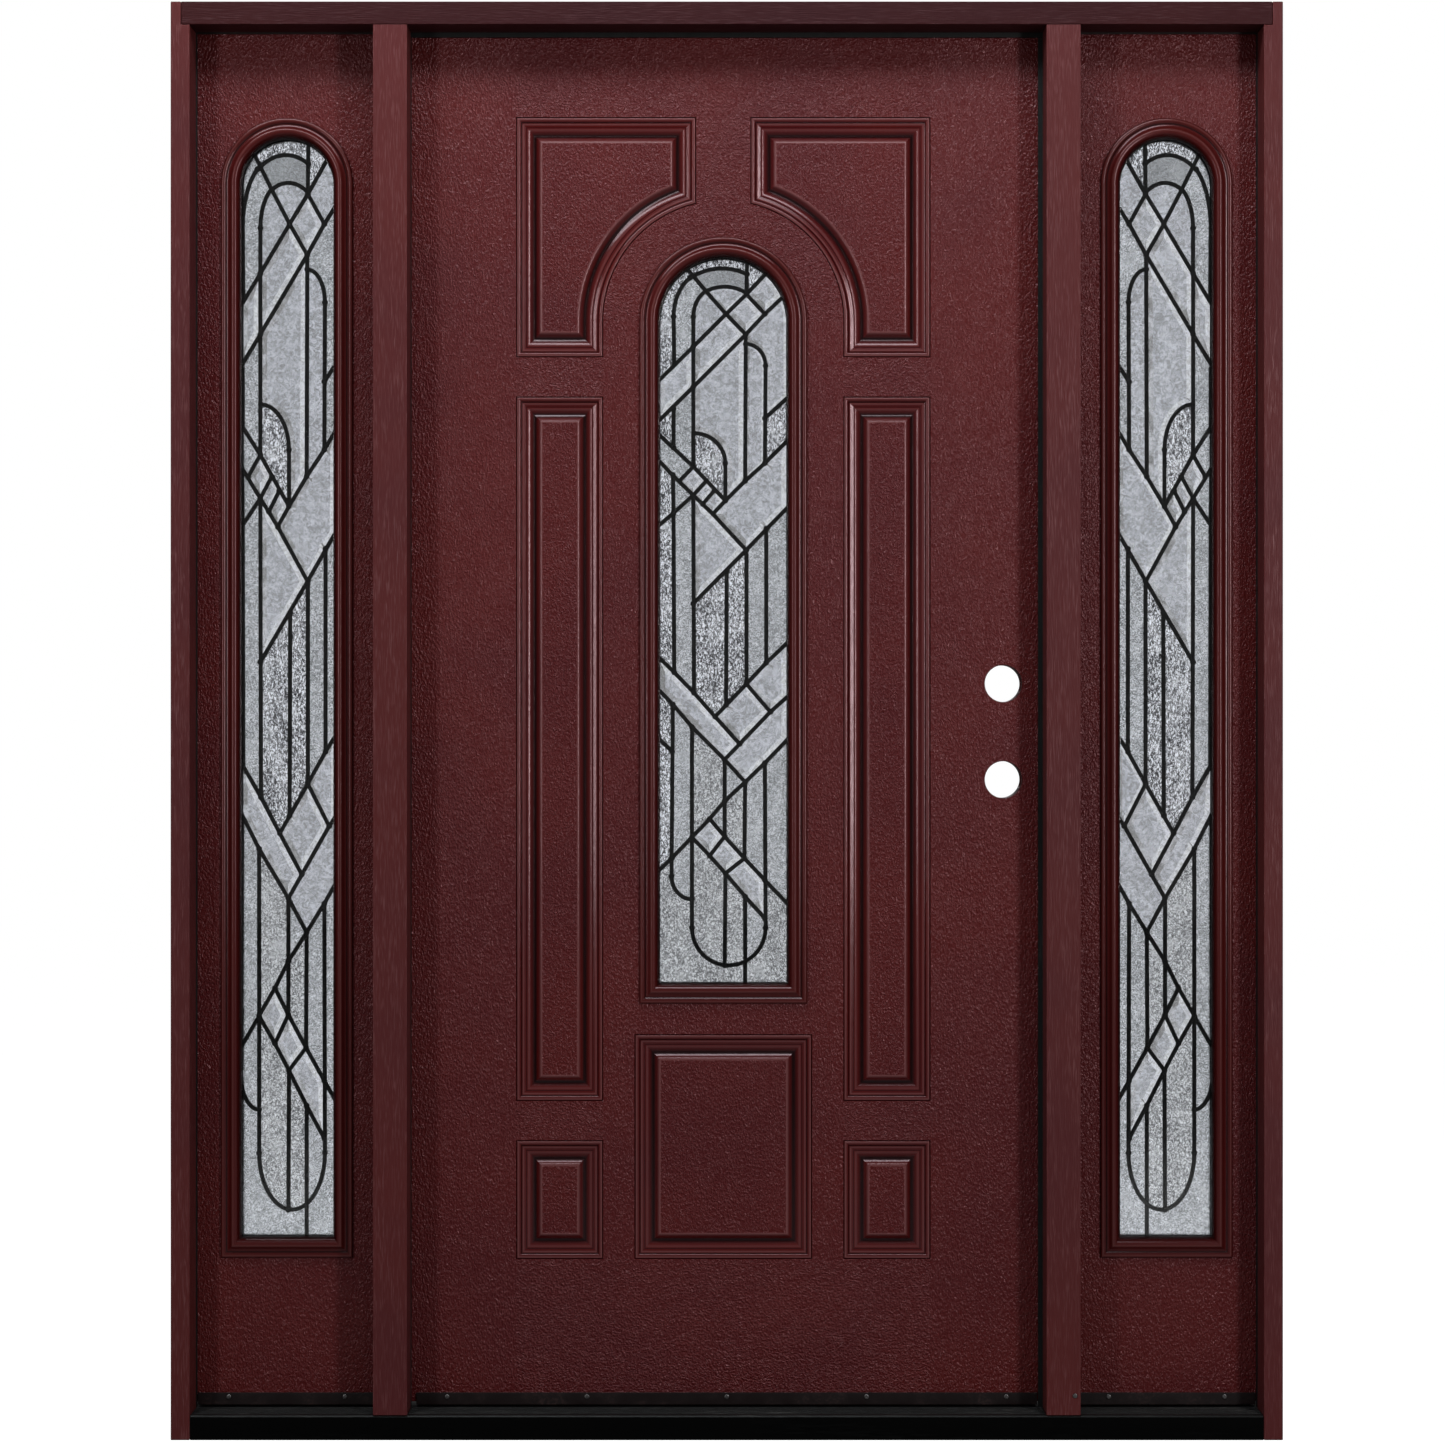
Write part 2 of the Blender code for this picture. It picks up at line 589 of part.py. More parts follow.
def band(points, width):
    """The outline of a strip of constant width that follows a line of points."""
    left, right = [], []
    for i, point in enumerate(points):
        back = (Vector(point) - Vector(points[max(i - 1, 0)])).normalized()
        ahead = (Vector(points[min(i + 1, len(points) - 1)]) - Vector(point)).normalized()
        along = (back + ahead).normalized()
        reach = width / 2 / max(along.dot(ahead if i == 0 else back), SHORTEST_MITRE)
        across = Vector((-along.y, along.x)) * reach
        left.append(tuple(Vector(point) + across))
        right.append(tuple(Vector(point) - across))
    return right + left[::-1]


def lead_lines(lite):
    """The drawing's lines, stretched to one lite's glass."""
    lines = [list(line) for line in STRAIGHT_LEADS]
    for arc in ARC_LEADS:
        steps = max(2, round(math.radians(abs(arc.end - arc.start)) / LEAD_ARC_STEP))
        line = []
        for step in range(steps + 1):
            angle = math.radians(arc.start + (arc.end - arc.start) * step / steps)
            line.append((arc.x + arc.radius_x * math.cos(angle), arc.z + arc.radius_z * math.sin(angle)))
        lines.append(line)
    side = -1 if lite.mirrored else 1
    across = side * lite.lead_width / DRAWING_WIDTH
    up = (lite.top - lite.bottom) / DRAWING_HEIGHT
    middle = lite.x + side * lite.lead_shift
    return [[(middle + x * across, lite.bottom + z * up) for x, z in line] for line in lines]


def simplified(outline):
    """The outline without the points that lie on the line between their neighbours."""
    points = list(outline)
    while len(points) > 3:
        heights = []
        for i, point in enumerate(points):
            before = Vector(points[i - 1])
            span = Vector(points[(i + 1) % len(points)]) - before
            offset = Vector(point) - before
            heights.append(abs(span.cross(offset)) / max(span.length, 1e-9))
        least = min(heights)
        if least > LEAD_TOLERANCE:
            break
        del points[heights.index(least)]
    return points


def lead_outlines(lite):
    """The lattice of leads: its outer edge, then the opening that each glass fills."""
    outer = lite_outline(lite, GLASS_HOLD - FIT)
    inner = lite_outline(lite, -EDGE_LEAD_IN_SIGHT)
    count = len(outer)
    shapes = [outer]
    shapes += [[outer[i], outer[(i + 1) % count], inner[(i + 1) % count], inner[i]] for i in range(count)]
    shapes += [band(line, LEAD_WIDTH) for line in lead_lines(lite)]
    points = [Vector(point) for shape in shapes for point in shape]
    faces, first = [], 0
    for shape in shapes:
        faces.append(list(range(first, first + len(shape))))
        first += len(shape)
    found = delaunay_2d_cdt(points, [], faces, 0, 1e-6)
    corners, triangles, sources = found[0], found[2], found[5]
    following = {}
    for triangle, source in zip(triangles, sources):
        if 0 in source and len(source) > 1:
            for a, b in zip(triangle, triangle[1:] + triangle[:1]):
                following[a, b] = True
    open_edges = {a: b for a, b in following if (b, a) not in following}
    outlines = []
    while open_edges:
        start, point = open_edges.popitem()
        outline = [start]
        while point != start:
            outline.append(point)
            point = open_edges.pop(point)
        outlines.append(simplified([tuple(corners[i]) for i in outline]))
    kept = [outline for outline in outlines if abs(signed_area(outline)) > SMALLEST_GLASS]
    return sorted(kept, key=lambda outline: -abs(signed_area(outline)))


def make_lite(lite, materials, origin=(0, 0, 0), parent=None):
    """Street and room frames, two clear panes and the leads between them."""
    make_lite_frame(lite, lite.name + "_frame_street", SLAB_FRONT_Y, 1, STREET_FRAME_FACE,
                    materials["frame"], origin, parent)
    make_lite_frame(lite, lite.name + "_frame_room", BACK_Y, -1, ROOM_FRAME_FACE,
                    materials["frame"], origin, parent)
    pane = lite_outline(lite, GLASS_HOLD)
    room_pane_y = 2 * SLAB_MIDDLE_Y - PANE_FRONT_Y - PANE
    for name, y in (("_pane_street", PANE_FRONT_Y), ("_pane_room", room_pane_y)):
        solid = Solid()
        solid.prism([pane], at_y(y), at_y(y + PANE))
        finish(solid, lite.name + name, materials["glass"], origin, parent)
    solid = Solid()
    half = LEAD_DEPTH / 2
    solid.prism(lead_outlines(lite), at_y(SLAB_MIDDLE_Y - half), at_y(SLAB_MIDDLE_Y + half))
    finish(solid, lite.name + "_leads", materials["lead"], origin, parent)


# Hinges

def hinge_bottoms():
    """The height of each hinge's lower end: low, middle and high."""
    low = SLAB_BOTTOM + BOTTOM_HINGE_MARGIN
    high = DOOR_SLAB_TOP - TOP_HINGE_MARGIN - HINGE_HEIGHT
    return {"low": low, "middle": (low + high) / 2, "high": high}


def leaf_mesh(name, side, first_knuckle, metal):
    """One leaf about the pin's axis at its lower end; side is -1 on the frame, 1 on the door."""
    near = DOOR_REVEAL / 2
    plate = sorted((side * near, side * (near + LEAF_THICKNESS)))
    solid = box(*plate, -PIN_OUT - LEAF_WIDTH, -KNUCKLE_RADIUS - FIT, 0, HINGE_HEIGHT)
    leaf = finish(solid, name, metal, smooth_below=30)
    pitch = HINGE_HEIGHT / KNUCKLES
    rolls = Solid()
    tabs = Solid()
    for knuckle in range(first_knuckle, KNUCKLES, 2):
        low = knuckle * pitch + FIT
        high = (knuckle + 1) * pitch - FIT
        rolls.prism([circle(0, 0, KNUCKLE_RADIUS, HINGE_STEPS)], at_z(low), at_z(high))
        tabs.prism([rectangle(*plate, -2 * KNUCKLE_RADIUS, 0)], at_z(low), at_z(high))
    cut(leaf, tabs, "UNION")
    cut(leaf, rolls, "UNION")
    hole = Solid()
    hole.prism([circle(0, 0, PIN_RADIUS + PIN_CLEARANCE, HINGE_STEPS)], at_z(-PIN_OUT),
               at_z(HINGE_HEIGHT + PIN_OUT))
    cut(leaf, hole)
    settled = leaf.evaluated_get(bpy.context.evaluated_depsgraph_get())
    mesh = bpy.data.meshes.new_from_object(settled)
    for modifier in list(leaf.modifiers):
        bpy.data.objects.remove(modifier.object)
    bpy.data.objects.remove(leaf)
    return mesh


def pin_solid():
    """A turned pin with a head on top and a tip below."""
    profile = [(PIN_RADIUS, -FIT), (PIN_RADIUS, HINGE_HEIGHT + FIT), (PIN_HEAD_RADIUS, HINGE_HEIGHT + FIT),
               (PIN_HEAD_RADIUS, HINGE_HEIGHT + FIT + PIN_HEAD * 2 / 3),
               (PIN_HEAD_RADIUS * 2 / 3, HINGE_HEIGHT + FIT + PIN_HEAD)]
    tip = [(PIN_HEAD_RADIUS * 2 / 3, -FIT - PIN_TIP), (PIN_HEAD_RADIUS, -FIT - PIN_TIP / 2),
           (PIN_HEAD_RADIUS, -FIT)]
    solid = Solid()
    levels = tip + profile
    loops = [solid.loop(circle(0, 0, radius, HINGE_STEPS), at_z(z)) for radius, z in levels]
    for first, second in zip(loops, loops[1:]):
        solid.bridge(first, second)
    solid.mesh.faces.new(loops[0])
    solid.mesh.faces.new(loops[-1])
    return solid


def make_hinges(metal, axis):
    frame_leaf = leaf_mesh("hinge_frame_leaf", -1, 0, metal)
    door_leaf = leaf_mesh("hinge_door_leaf", 1, 1, metal)
    for name, low in hinge_bottoms().items():
        foot = (HINGE_X, HINGE_Y, low)
        place(frame_leaf, f"hinge_{name}_frame_leaf", foot, None)
        place(door_leaf, f"hinge_{name}_door_leaf", foot, axis)
        pin = finish(pin_solid(), f"hinge_{name}_pin", metal, smooth_below=40)
        pin.location = foot


def cut_frame_mortises(mullion):
    mortises = Solid()
    face = -DOOR_HALF - RABBET
    for low in hinge_bottoms().values():
        recess = rectangle(face - LEAF_THICKNESS - FIT, face + RABBET, BACK_Y - LEAF_WIDTH - FIT,
                           BACK_Y + RABBET)
        mortises.prism([recess], at_z(low - FIT), at_z(low + HINGE_HEIGHT + FIT))
    cut(mullion, mortises)


def main():
    for existing in list(bpy.data.objects):
        bpy.data.objects.remove(existing, do_unlink=True)

    wood = material("frame_skin", (0.075, 0.022, 0.020), 0.42)
    skin = material("slab_skin", (0.085, 0.030, 0.030), 0.45)
    strip = material("bottom_strip", (0.012, 0.010, 0.010), 0.5)
    rubber = material("seal", (0.01, 0.01, 0.01), 0.7)
    metal = material("sill_metal", (0.02, 0.019, 0.018), 0.4, 0.6)
    steel = material("hinge_steel", (0.35, 0.30, 0.22), 0.35, 1.0)
    lite_materials = {"frame": material("lite_frame", (0.10, 0.018, 0.016), 0.3),
                      "glass": material("clear_glass", (0.75, 0.78, 0.78), 0.05, 0.0, 0.9),
                      "lead": material("dark_lead", (0.012, 0.012, 0.014), 0.4, 0.8)}

    axis = bpy.data.objects.new("door_swing", None)
    bpy.context.collection.objects.link(axis)
    axis.location = (HINGE_X, HINGE_Y, 0)
    foot = (HINGE_X, HINGE_Y, 0)

    make_jamb("jamb_left", -1, wood)
    make_jamb("jamb_right", 1, wood)
    make_head(wood)
    hinge_post = make_mullion("mullion_left", -1, wood)
    cut_frame_mortises(hinge_post)
    make_mullion("mullion_right", 1, wood)
    make_sill(metal)

    make_door_slab(skin, hinge_bottoms().values(), axis)
    make_bottom_strip("door_bottom_strip", 0, DOOR_HALF - SEAL_IN_SIGHT - STRIP_END_GAP, strip, foot, axis)
    make_door_seals(rubber)
    make_lite(DOOR_LITE, lite_materials, foot, axis)
    for lite in (LEFT_LITE, RIGHT_LITE):
        make_sidelite_slab(lite, skin)
        make_bottom_strip(lite.name + "_bottom_strip", lite.x,
                          SIDELITE_HALF - GASKET_IN_SIGHT - STRIP_END_GAP, strip)
        make_gasket(lite, rubber)
        make_lite(lite, lite_materials)
    make_hinges(steel, axis)


main()
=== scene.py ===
"""Looks of a prehung entry door between two sidelites: skins, mouldings, leaded glass.

Metres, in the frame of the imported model: the street side faces -Y and +Z is up.
"""
import json
import logging
import math
from collections.abc import Callable, Sequence
from dataclasses import dataclass, field
from enum import Enum

import bmesh
import bpy
from mathutils import Matrix, Vector
from mathutils.geometry import delaunay_2d_cdt


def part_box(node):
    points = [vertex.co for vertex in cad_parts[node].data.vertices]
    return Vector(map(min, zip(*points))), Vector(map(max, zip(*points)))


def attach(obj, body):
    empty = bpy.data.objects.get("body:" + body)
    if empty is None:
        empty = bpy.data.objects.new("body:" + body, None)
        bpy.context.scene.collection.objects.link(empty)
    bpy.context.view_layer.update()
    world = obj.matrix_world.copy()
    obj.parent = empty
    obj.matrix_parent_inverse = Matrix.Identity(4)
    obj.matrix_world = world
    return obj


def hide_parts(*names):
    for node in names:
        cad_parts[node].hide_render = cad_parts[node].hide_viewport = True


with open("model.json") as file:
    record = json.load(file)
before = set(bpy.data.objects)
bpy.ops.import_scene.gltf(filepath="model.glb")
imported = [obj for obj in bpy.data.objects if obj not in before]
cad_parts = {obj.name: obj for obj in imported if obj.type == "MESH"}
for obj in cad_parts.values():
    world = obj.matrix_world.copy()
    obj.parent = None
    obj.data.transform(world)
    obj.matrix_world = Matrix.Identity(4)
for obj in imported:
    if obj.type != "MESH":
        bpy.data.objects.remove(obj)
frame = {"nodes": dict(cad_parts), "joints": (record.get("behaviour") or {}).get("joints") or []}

log = logging.getLogger("entry_door")

Point = tuple[float, float]
Outline = list[Point]
Run = tuple[tuple[float, float, float], ...]
Colour = tuple[float, float, float]
Stretch = tuple[float, float, float]
Place = tuple[float, float, float]
Placing = Callable[[float, float], Place]
Panel = Callable[[float], Outline]
Groups = dict[str, bpy.types.NodeTree]

# The clearance between fitted parts.
FIT = 0.0003
# Angles between faces that look smooth, turns that count as corners, and faces that are one.
SMOOTH_BELOW = math.radians(38)
CORNER_TURN = math.radians(20)
FLAT_WITHIN = math.radians(1)
# How near points are the same point, and how fine a number has to be to count as nothing.
WELD = 1e-5
PLACE_DIGITS = 5
FACE_TOLERANCE = 1e-7
LEAD_TOLERANCE = 1e-6
NO_LENGTH = 1e-9
NO_CROSSING = 1e-12
# The sharpest corners that an inset outline and a strip follow to their tip.
INSET_LIMIT = 0.3
BAND_LIMIT = 0.5

SPIN_SEED = 7
GLASS_IOR = 1.5
WHITE = (1.0, 1.0, 1.0, 1.0)
FLOOR_GREY = (0.4, 0.4, 0.4, 1.0)
# The range that most of a noise's values lie in, and its middle.
NOISE_LOW = 0.3
NOISE_HIGH = 0.7
NOISE_MIDDLE = 0.5
# How fine the grain's streaks and the scuffs are, beside the pebbles and the clouds.
STREAKS_TO_PEBBLES = 0.16
SCUFFS_TO_CLOUDS = 9.0
EASE_STEPS = 3
RIB_SIDES = 10

HINGE_LEVELS = ("low", "middle", "high")
# Turns +Z towards the street.
TO_STREET = (math.pi / 2, 0, 0)

# A panel's moulding, from its outer edge to the raised field, as runs that meet at
# crisp lines. Each point is (how far in, how deep, painted light: painted shade below 0, painted highlight
# above 0).
PANEL_MOULDING: tuple[Run, ...] = (
    ((0, 0, 0), (0.012, 0.10, -0.7), (0.03, 0.19, -1)),
    ((0.03, 0.19, -1), (0.045, 0.06, 0), (0.07, 0.0, 0.55), (0.10, 0.0, 0.35), (0.15, 0.05, 0),
     (0.19, 0.17, -0.3), (0.22, 0.35, -1)),
    ((0.22, 0.35, -1), (0.245, 0.33, 0), (0.28, 0.35, 0.45), (0.33, 0.41, 0), (0.38, 0.47, -0.2),
     (0.40, 0.49, -0.9)),
    ((0.40, 0.49, -0.9), (0.43, 0.48, 0), (0.48, 0.52, 0.25), (0.56, 0.66, 0), (0.63, 0.85, -0.5),
     (0.70, 1.0, -1)),
    ((0.70, 1.0, -1), (0.75, 0.89, -1), (0.80, 0.75, -0.45), (0.86, 0.55, 0), (0.93, 0.24, 0.3),
     (1, 0.1765, 0.7)),
)
# The face of a lite's frame, from its outer edge to the glass: (how far in, height, painted light: painted
# shade below 0, painted highlight above 0).
LITE_FRAME_FACE: tuple[Run, ...] = (
    ((0, 0.30, -1), (0.015, 0.48, -0.2), (0.05, 0.62, 0), (0.11, 0.70, 0.35), (0.18, 0.69, 0),
     (0.25, 0.56, -0.3), (0.30, 0.44, -1)),
    ((0.30, 0.44, -1), (0.36, 0.47, -0.1), (0.44, 0.58, 0), (0.52, 0.80, 0), (0.57, 0.94, 0.3)),
    ((0.57, 0.94, 0.3), (0.61, 1.0, 0.35), (0.68, 1.0, 0.1), (0.75, 0.93, 0), (0.82, 0.76, -0.2)),
    ((0.82, 0.76, -0.2), (0.88, 0.5, -0.4), (0.95, 0.06, -0.7), (1, -0.6, -1)),
)


class Skin(Enum):
    """The places of a moulded skin, in the order of the slab's material slots."""

    STILE = 0
    RAIL = 1
    MOULDING = 2
    FIELD = 3
    EDGE = 4


class Glass(Enum):
    """The kinds of glass in a lite, in the order of the glass work's material slots."""

    CHIPPED = 0
    RAIN = 1
    HAMMERED = 2
    SEEDY = 3
    BEVELLED = 4
    # The bevels' slopes: copies of one glass with a painted glint, a painted sheen and a painted shade.
    PAINTED_GLINT_BEVEL = 5
    PAINTED_SHEEN_BEVEL = 6
    PAINTED_SHADE_BEVEL = 7


# Points of the lead drawing that lie in the pieces of each special glass; every other
# piece is glue-chipped. Millimetres, X from the middle and Z up from the glass's foot.
SPECIAL_GLASS: dict[Glass, tuple[Point, ...]] = {
    Glass.RAIN: ((-84, 940), (-5, 1054), (46, 1035), (-84, 815), (-84, 717), (-84, 570), (-84, 385),
                 (-84, 260), (-25, 765), (-20, 480), (19, 520), (78, 815)),
    Glass.HAMMERED: ((17, 80), (-22, 110), (17, 240), (-25, 300), (-80, 60), (80, 60)),
    Glass.SEEDY: ((0, 1030),),
    Glass.BEVELLED: ((-70, 880), (-2, 935), (5, 850), (33, 980), (61, 1009), (-25, 975), (5, 1003),
                     (47, 830), (80, 930), (50, 710), (-20, 640), (-44, 736), (-28, 719), (-13, 705),
                     (-40, 395), (28, 393), (72, 445), (55, 350), (-22, 213), (4, 186), (38, 148)),
}


# Outlines in a plane

def rectangle(left: float, right: float, low: float, high: float) -> Outline:
    """Corners of a rectangle, turning left."""
    return [(left, low), (right, low), (right, high), (left, high)]


def circle(x: float, z: float, radius: float, steps: int) -> Outline:
    """Points of a circle, turning left."""
    turn = math.tau / steps
    return [(x + radius * math.cos(i * turn), z + radius * math.sin(i * turn)) for i in range(steps)]


def signed_area(outline: Outline) -> float:
    """Area of an outline, above zero where it turns left."""
    return sum(a[0] * b[1] - b[0] * a[1] for a, b in zip(outline, outline[1:] + outline[:1])) / 2


def is_inside(point: Sequence[float], outline: Outline) -> bool:
    """Whether a point lies inside an outline.

    Args:
        point: The point.
        outline: Points of a closed outline.

    Returns:
        True where it does.
    """
    inside = False
    for a, b in zip(outline, outline[1:] + outline[:1]):
        if (a[1] > point[1]) != (b[1] > point[1]):
            crossing = a[0] + (point[1] - a[1]) * (b[0] - a[0]) / (b[1] - a[1])
            inside ^= point[0] < crossing
    return inside


def inset(outline: Outline, distance: float) -> Outline:
    """An outline moved inward by a distance, its corners kept as mitres.

    Args:
        outline: Points that turn left.
        distance: How far each side moves in.

    Returns:
        As many points as the outline has.
    """
    moved = []
    for i, point in enumerate(outline):
        corner = Vector(point)
        before = (corner - Vector(outline[i - 1])).normalized()
        after = (Vector(outline[(i + 1) % len(outline)]) - corner).normalized()
        inward = Vector((-before.y - after.y, before.x + after.x)).normalized()
        reach = distance / max(inward.dot(Vector((-before.y, before.x))), INSET_LIMIT)
        moved.append(tuple(corner + inward * reach))
    return moved


def is_simple(outline: Outline) -> bool:
    """Whether no two sides of an outline cross.

    Args:
        outline: Points of a closed outline.

    Returns:
        True where none do.
    """
    sides = list(zip(outline, outline[1:] + outline[:1]))
    for i, (a, b) in enumerate(sides):
        for c, d in sides[i + 2:len(sides) - (i == 0)]:
            turns = [(q[0] - p[0]) * (r[1] - p[1]) - (q[1] - p[1]) * (r[0] - p[0])
                     for p, q, r in ((a, b, c), (a, b, d), (c, d, a), (c, d, b))]
            if turns[0] * turns[1] < 0 and turns[2] * turns[3] < 0:
                return False
    return True


def simplified(outline: Outline, tolerance: float) -> Outline:
    """The outline without the points that lie on the line between their neighbours.

    Args:
        outline: Points of a closed outline.
        tolerance: The most that a point left out may lie off that line.

    Returns:
        The points that matter.
    """
    points = list(outline)
    while len(points) > 3:
        heights = []
        for i, point in enumerate(points):
            start = Vector(points[i - 1])
            span = Vector(points[(i + 1) % len(points)]) - start
            heights.append(abs(span.cross(Vector(point) - start)) / max(span.length, NO_LENGTH))
        least = min(heights)
        if least > tolerance:
            break
        del points[heights.index(least)]
    return points


def clipped(line: Outline, outline: Outline) -> list[Outline]:
    """The stretches of a line that lie inside an outline.

    Args:
        line: Points of an open line.
        outline: The closed outline that cuts it.

    Returns:
        One list of points for each stretch.
    """
    stretches, current = [], []
    for a, b in zip(line, line[1:]):
        cuts = [0.0, 1.0]
        for c, d in zip(outline, outline[1:] + outline[:1]):
            across = (b[0] - a[0]) * (d[1] - c[1]) - (b[1] - a[1]) * (d[0] - c[0])
            if abs(across) < NO_CROSSING:
                continue
            t = ((c[0] - a[0]) * (d[1] - c[1]) - (c[1] - a[1]) * (d[0] - c[0])) / across
            u = ((c[0] - a[0]) * (b[1] - a[1]) - (c[1] - a[1]) * (b[0] - a[0])) / across
            if 0 < t < 1 and 0 <= u < 1:
                cuts.append(t)
        cuts.sort()
        for start, end in zip(cuts, cuts[1:]):
            ends = [(a[0] + (b[0] - a[0]) * t, a[1] + (b[1] - a[1]) * t) for t in (start, end)]
            middle = ((ends[0][0] + ends[1][0]) / 2, (ends[0][1] + ends[1][1]) / 2)
            if is_inside(middle, outline):
                current += ends[0 if not current else 1:]
            elif current:
                stretches.append(current)
                current = []
    return stretches + ([current] if current else [])


def band(line: Outline, width: float, past: float) -> Outline:
    """The outline of a strip of constant width along a line.

    Args:
        line: Points of an open line.
        width: The strip's width.
        past: How far the strip runs past the line's ends.

    Returns:
        The strip's outline, turning left.
    """
    first = Vector(line[0]) + (Vector(line[0]) - Vector(line[1])).normalized() * past
    last = Vector(line[-1]) + (Vector(line[-1]) - Vector(line[-2])).normalized() * past
    points = [tuple(first), *line[1:-1], tuple(last)]
    left, right = [], []
    for i, point in enumerate(points):
        here = Vector(point)
        back = (here - Vector(points[max(i - 1, 0)])).normalized()
        ahead = (Vector(points[min(i + 1, len(points) - 1)]) - here).normalized()
        along = (back + ahead).normalized()
        reach = width / 2 / max(along.dot(ahead if i == 0 else back), BAND_LIMIT)
        across = Vector((-along.y, along.x)) * reach
        left.append(tuple(here + across))
        right.append(tuple(here - across))
    return right + left[::-1]


def flow(runs: Sequence[Run], steps: int) -> list[tuple[float, float, float, bool]]:
    """Points of smooth lines through the points of each run.

    Args:
        runs: Runs of points; one run starts where the last one ends.
        steps: Points made for each stretch of a run.

    Returns:
        Each point with whether it is a crisp line, where two runs meet.
    """
    made = []
    for run in runs:
        points = [run[0], *run, run[-1]]
        for start, (a, b, c, d) in enumerate(zip(points, points[1:], points[2:], points[3:])):
            for step in range(steps):
                t = step / steps
                smooth = [0.5 * (2 * q + (r - p) * t + (2 * p - 5 * q + 4 * r - s) * t * t
                                 + (3 * q - p - 3 * r + s) * t ** 3) for p, q, r, s in zip(a, b, c, d)]
                made.append((*smooth, start == 0 and step == 0))
    return made + [(*runs[-1][-1], True)]


# Meshes

def on_side(x: float) -> Placing:
    """Puts a side's points, given as (y, z), at x."""
    return lambda y, z: (x, y, z)


def on_face(y: float) -> Placing:
    """Puts a face's points, given as (x, z), at depth y."""
    return lambda x, z: (x, y, z)


def on_plan(z: float) -> Placing:
    """Puts a plan's points, given as (x, y), at height z."""
    return lambda x, y: (x, y, z)


class Shell:
    """A closed mesh in the making: rings of points, bands between them and flat caps."""

    def __init__(self) -> None:
        """Starts empty."""
        self.mesh = bmesh.new()
        # Painted light of each point: painted shade below 0, painted highlight above 0.
        self.tone = self.mesh.verts.layers.float.new("tone")
        self.creases: list[tuple[bmesh.types.BMVert, bmesh.types.BMVert]] = []

    def ring(self, outline: Outline, place: Placing, tone: float = 0.0,
             crisp: bool = False) -> list[bmesh.types.BMVert]:
        """Adds an outline's points.

        Args:
            outline: Points of a closed outline.
            place: Turns a point of the plane into one in space.
            tone: The painted shade (below 0) or painted highlight (above 0) along the ring.
            crisp: Whether the ring is a crisp line.

        Returns:
            The ring's points.
        """
        made = [self.mesh.verts.new(place(*point)) for point in outline]
        for vertex in made:
            vertex[self.tone] = tone
        if crisp:
            self.creases += zip(made, made[1:] + made[:1])
        return made

    def band(self, first: list, second: list, slot: int = 0,
             corners: Sequence[int] = ()) -> list[bmesh.types.BMFace]:
        """Joins two rings with faces.

        Args:
            first: Points of one ring.
            second: As many points of the other.
            slot: The faces' material slot.
            corners: Numbers of the points that a crisp edge joins.

        Returns:
            The faces.
        """
        faces = []
        for i in range(len(first)):
            j = (i + 1) % len(first)
            faces.append(self.mesh.faces.new((first[i], first[j], second[j], second[i])))
            faces[-1].material_index = slot
        self.creases += [(first[i], second[i]) for i in corners]
        return faces

    def cap(self, outlines: list[Outline], rings: list[list], slot_of: Callable[[Vector], int],
            seams: Sequence[tuple[Point, Point]] = ()) -> None:
        """Fills a flat face inside the first outline and outside the others.

        Args:
            outlines: The edge, then the holes.
            rings: The points made for each outline.
            slot_of: Gives the material slot of a triangle from its middle.
            seams: Straight lines between points of the outlines that triangles don't cross.
        """
        points, edges, places = [], [], {}
        for outline in outlines:
            first = len(points)
            edges += [(first + i, first + (i + 1) % len(outline)) for i in range(len(outline))]
            for number, point in enumerate(outline, first):
                places[round(point[0], PLACE_DIGITS), round(point[1], PLACE_DIGITS)] = number
            points += outline
        for ends in seams:
            edges.append(tuple(places[round(x, PLACE_DIGITS), round(z, PLACE_DIGITS)] for x, z in ends))
        found = delaunay_2d_cdt([Vector(p) for p in points], edges, [], 0, FACE_TOLERANCE)
        corners = [corner for ring in rings for corner in ring]
        for triangle in found[2]:
            middle = sum((found[0][i] for i in triangle), Vector((0, 0))) / 3
            if is_inside(middle, outlines[0]) and not any(is_inside(middle, hole) for hole in outlines[1:]):
                face = self.mesh.faces.new([corners[found[3][i][0]] for i in triangle])
                face.material_index = slot_of(middle)

    def lid(self, ring: list) -> None:
        """Closes a convex ring with one face."""
        self.mesh.faces.new(ring)

    def prism(self, outline: Outline, start: Placing, end: Placing) -> None:
        """Adds a closed solid between two places of a convex outline.

        Args:
            outline: The solid's outline.
            start: Puts the outline at one end.
            end: Puts it at the other.
        """
        rings = [self.ring(outline, place) for place in (start, end)]
        self.band(*rings)
        self.lid(rings[0])
        self.lid(rings[1])

    def turned(self, profile: Sequence[Point], steps: int) -> None:
        """Turns a profile about the Z axis and closes both ends.

        Args:
            profile: Points as (radius, height).
            steps: Points round the axis.
        """
        rings = [self.ring(circle(0, 0, radius, steps), on_plan(height)) for radius, height in profile]
        for first, second in zip(rings, rings[1:]):
            self.band(first, second)
        self.lid(rings[0])
        self.lid(rings[-1])

    def finish(self, name: str, materials: Sequence[bpy.types.Material]) -> bpy.types.Object:
        """Makes the object, faces pointing out, smooth between its crisp lines.

        Args:
            name: The object's name.
            materials: Its material slots.

        Returns:
            The object.
        """
        bmesh.ops.recalc_face_normals(self.mesh, faces=self.mesh.faces)
        for face in self.mesh.faces:
            face.smooth = True
        for edge in self.mesh.edges:
            edge.smooth = len(edge.link_faces) == 2 and edge.calc_face_angle() < SMOOTH_BELOW
        for a, b in self.creases:
            edge = self.mesh.edges.get((a, b))
            if edge:
                edge.smooth = False
        data = bpy.data.meshes.new(name)
        self.mesh.to_mesh(data)
        self.mesh.free()
        return as_object(name, data, materials)


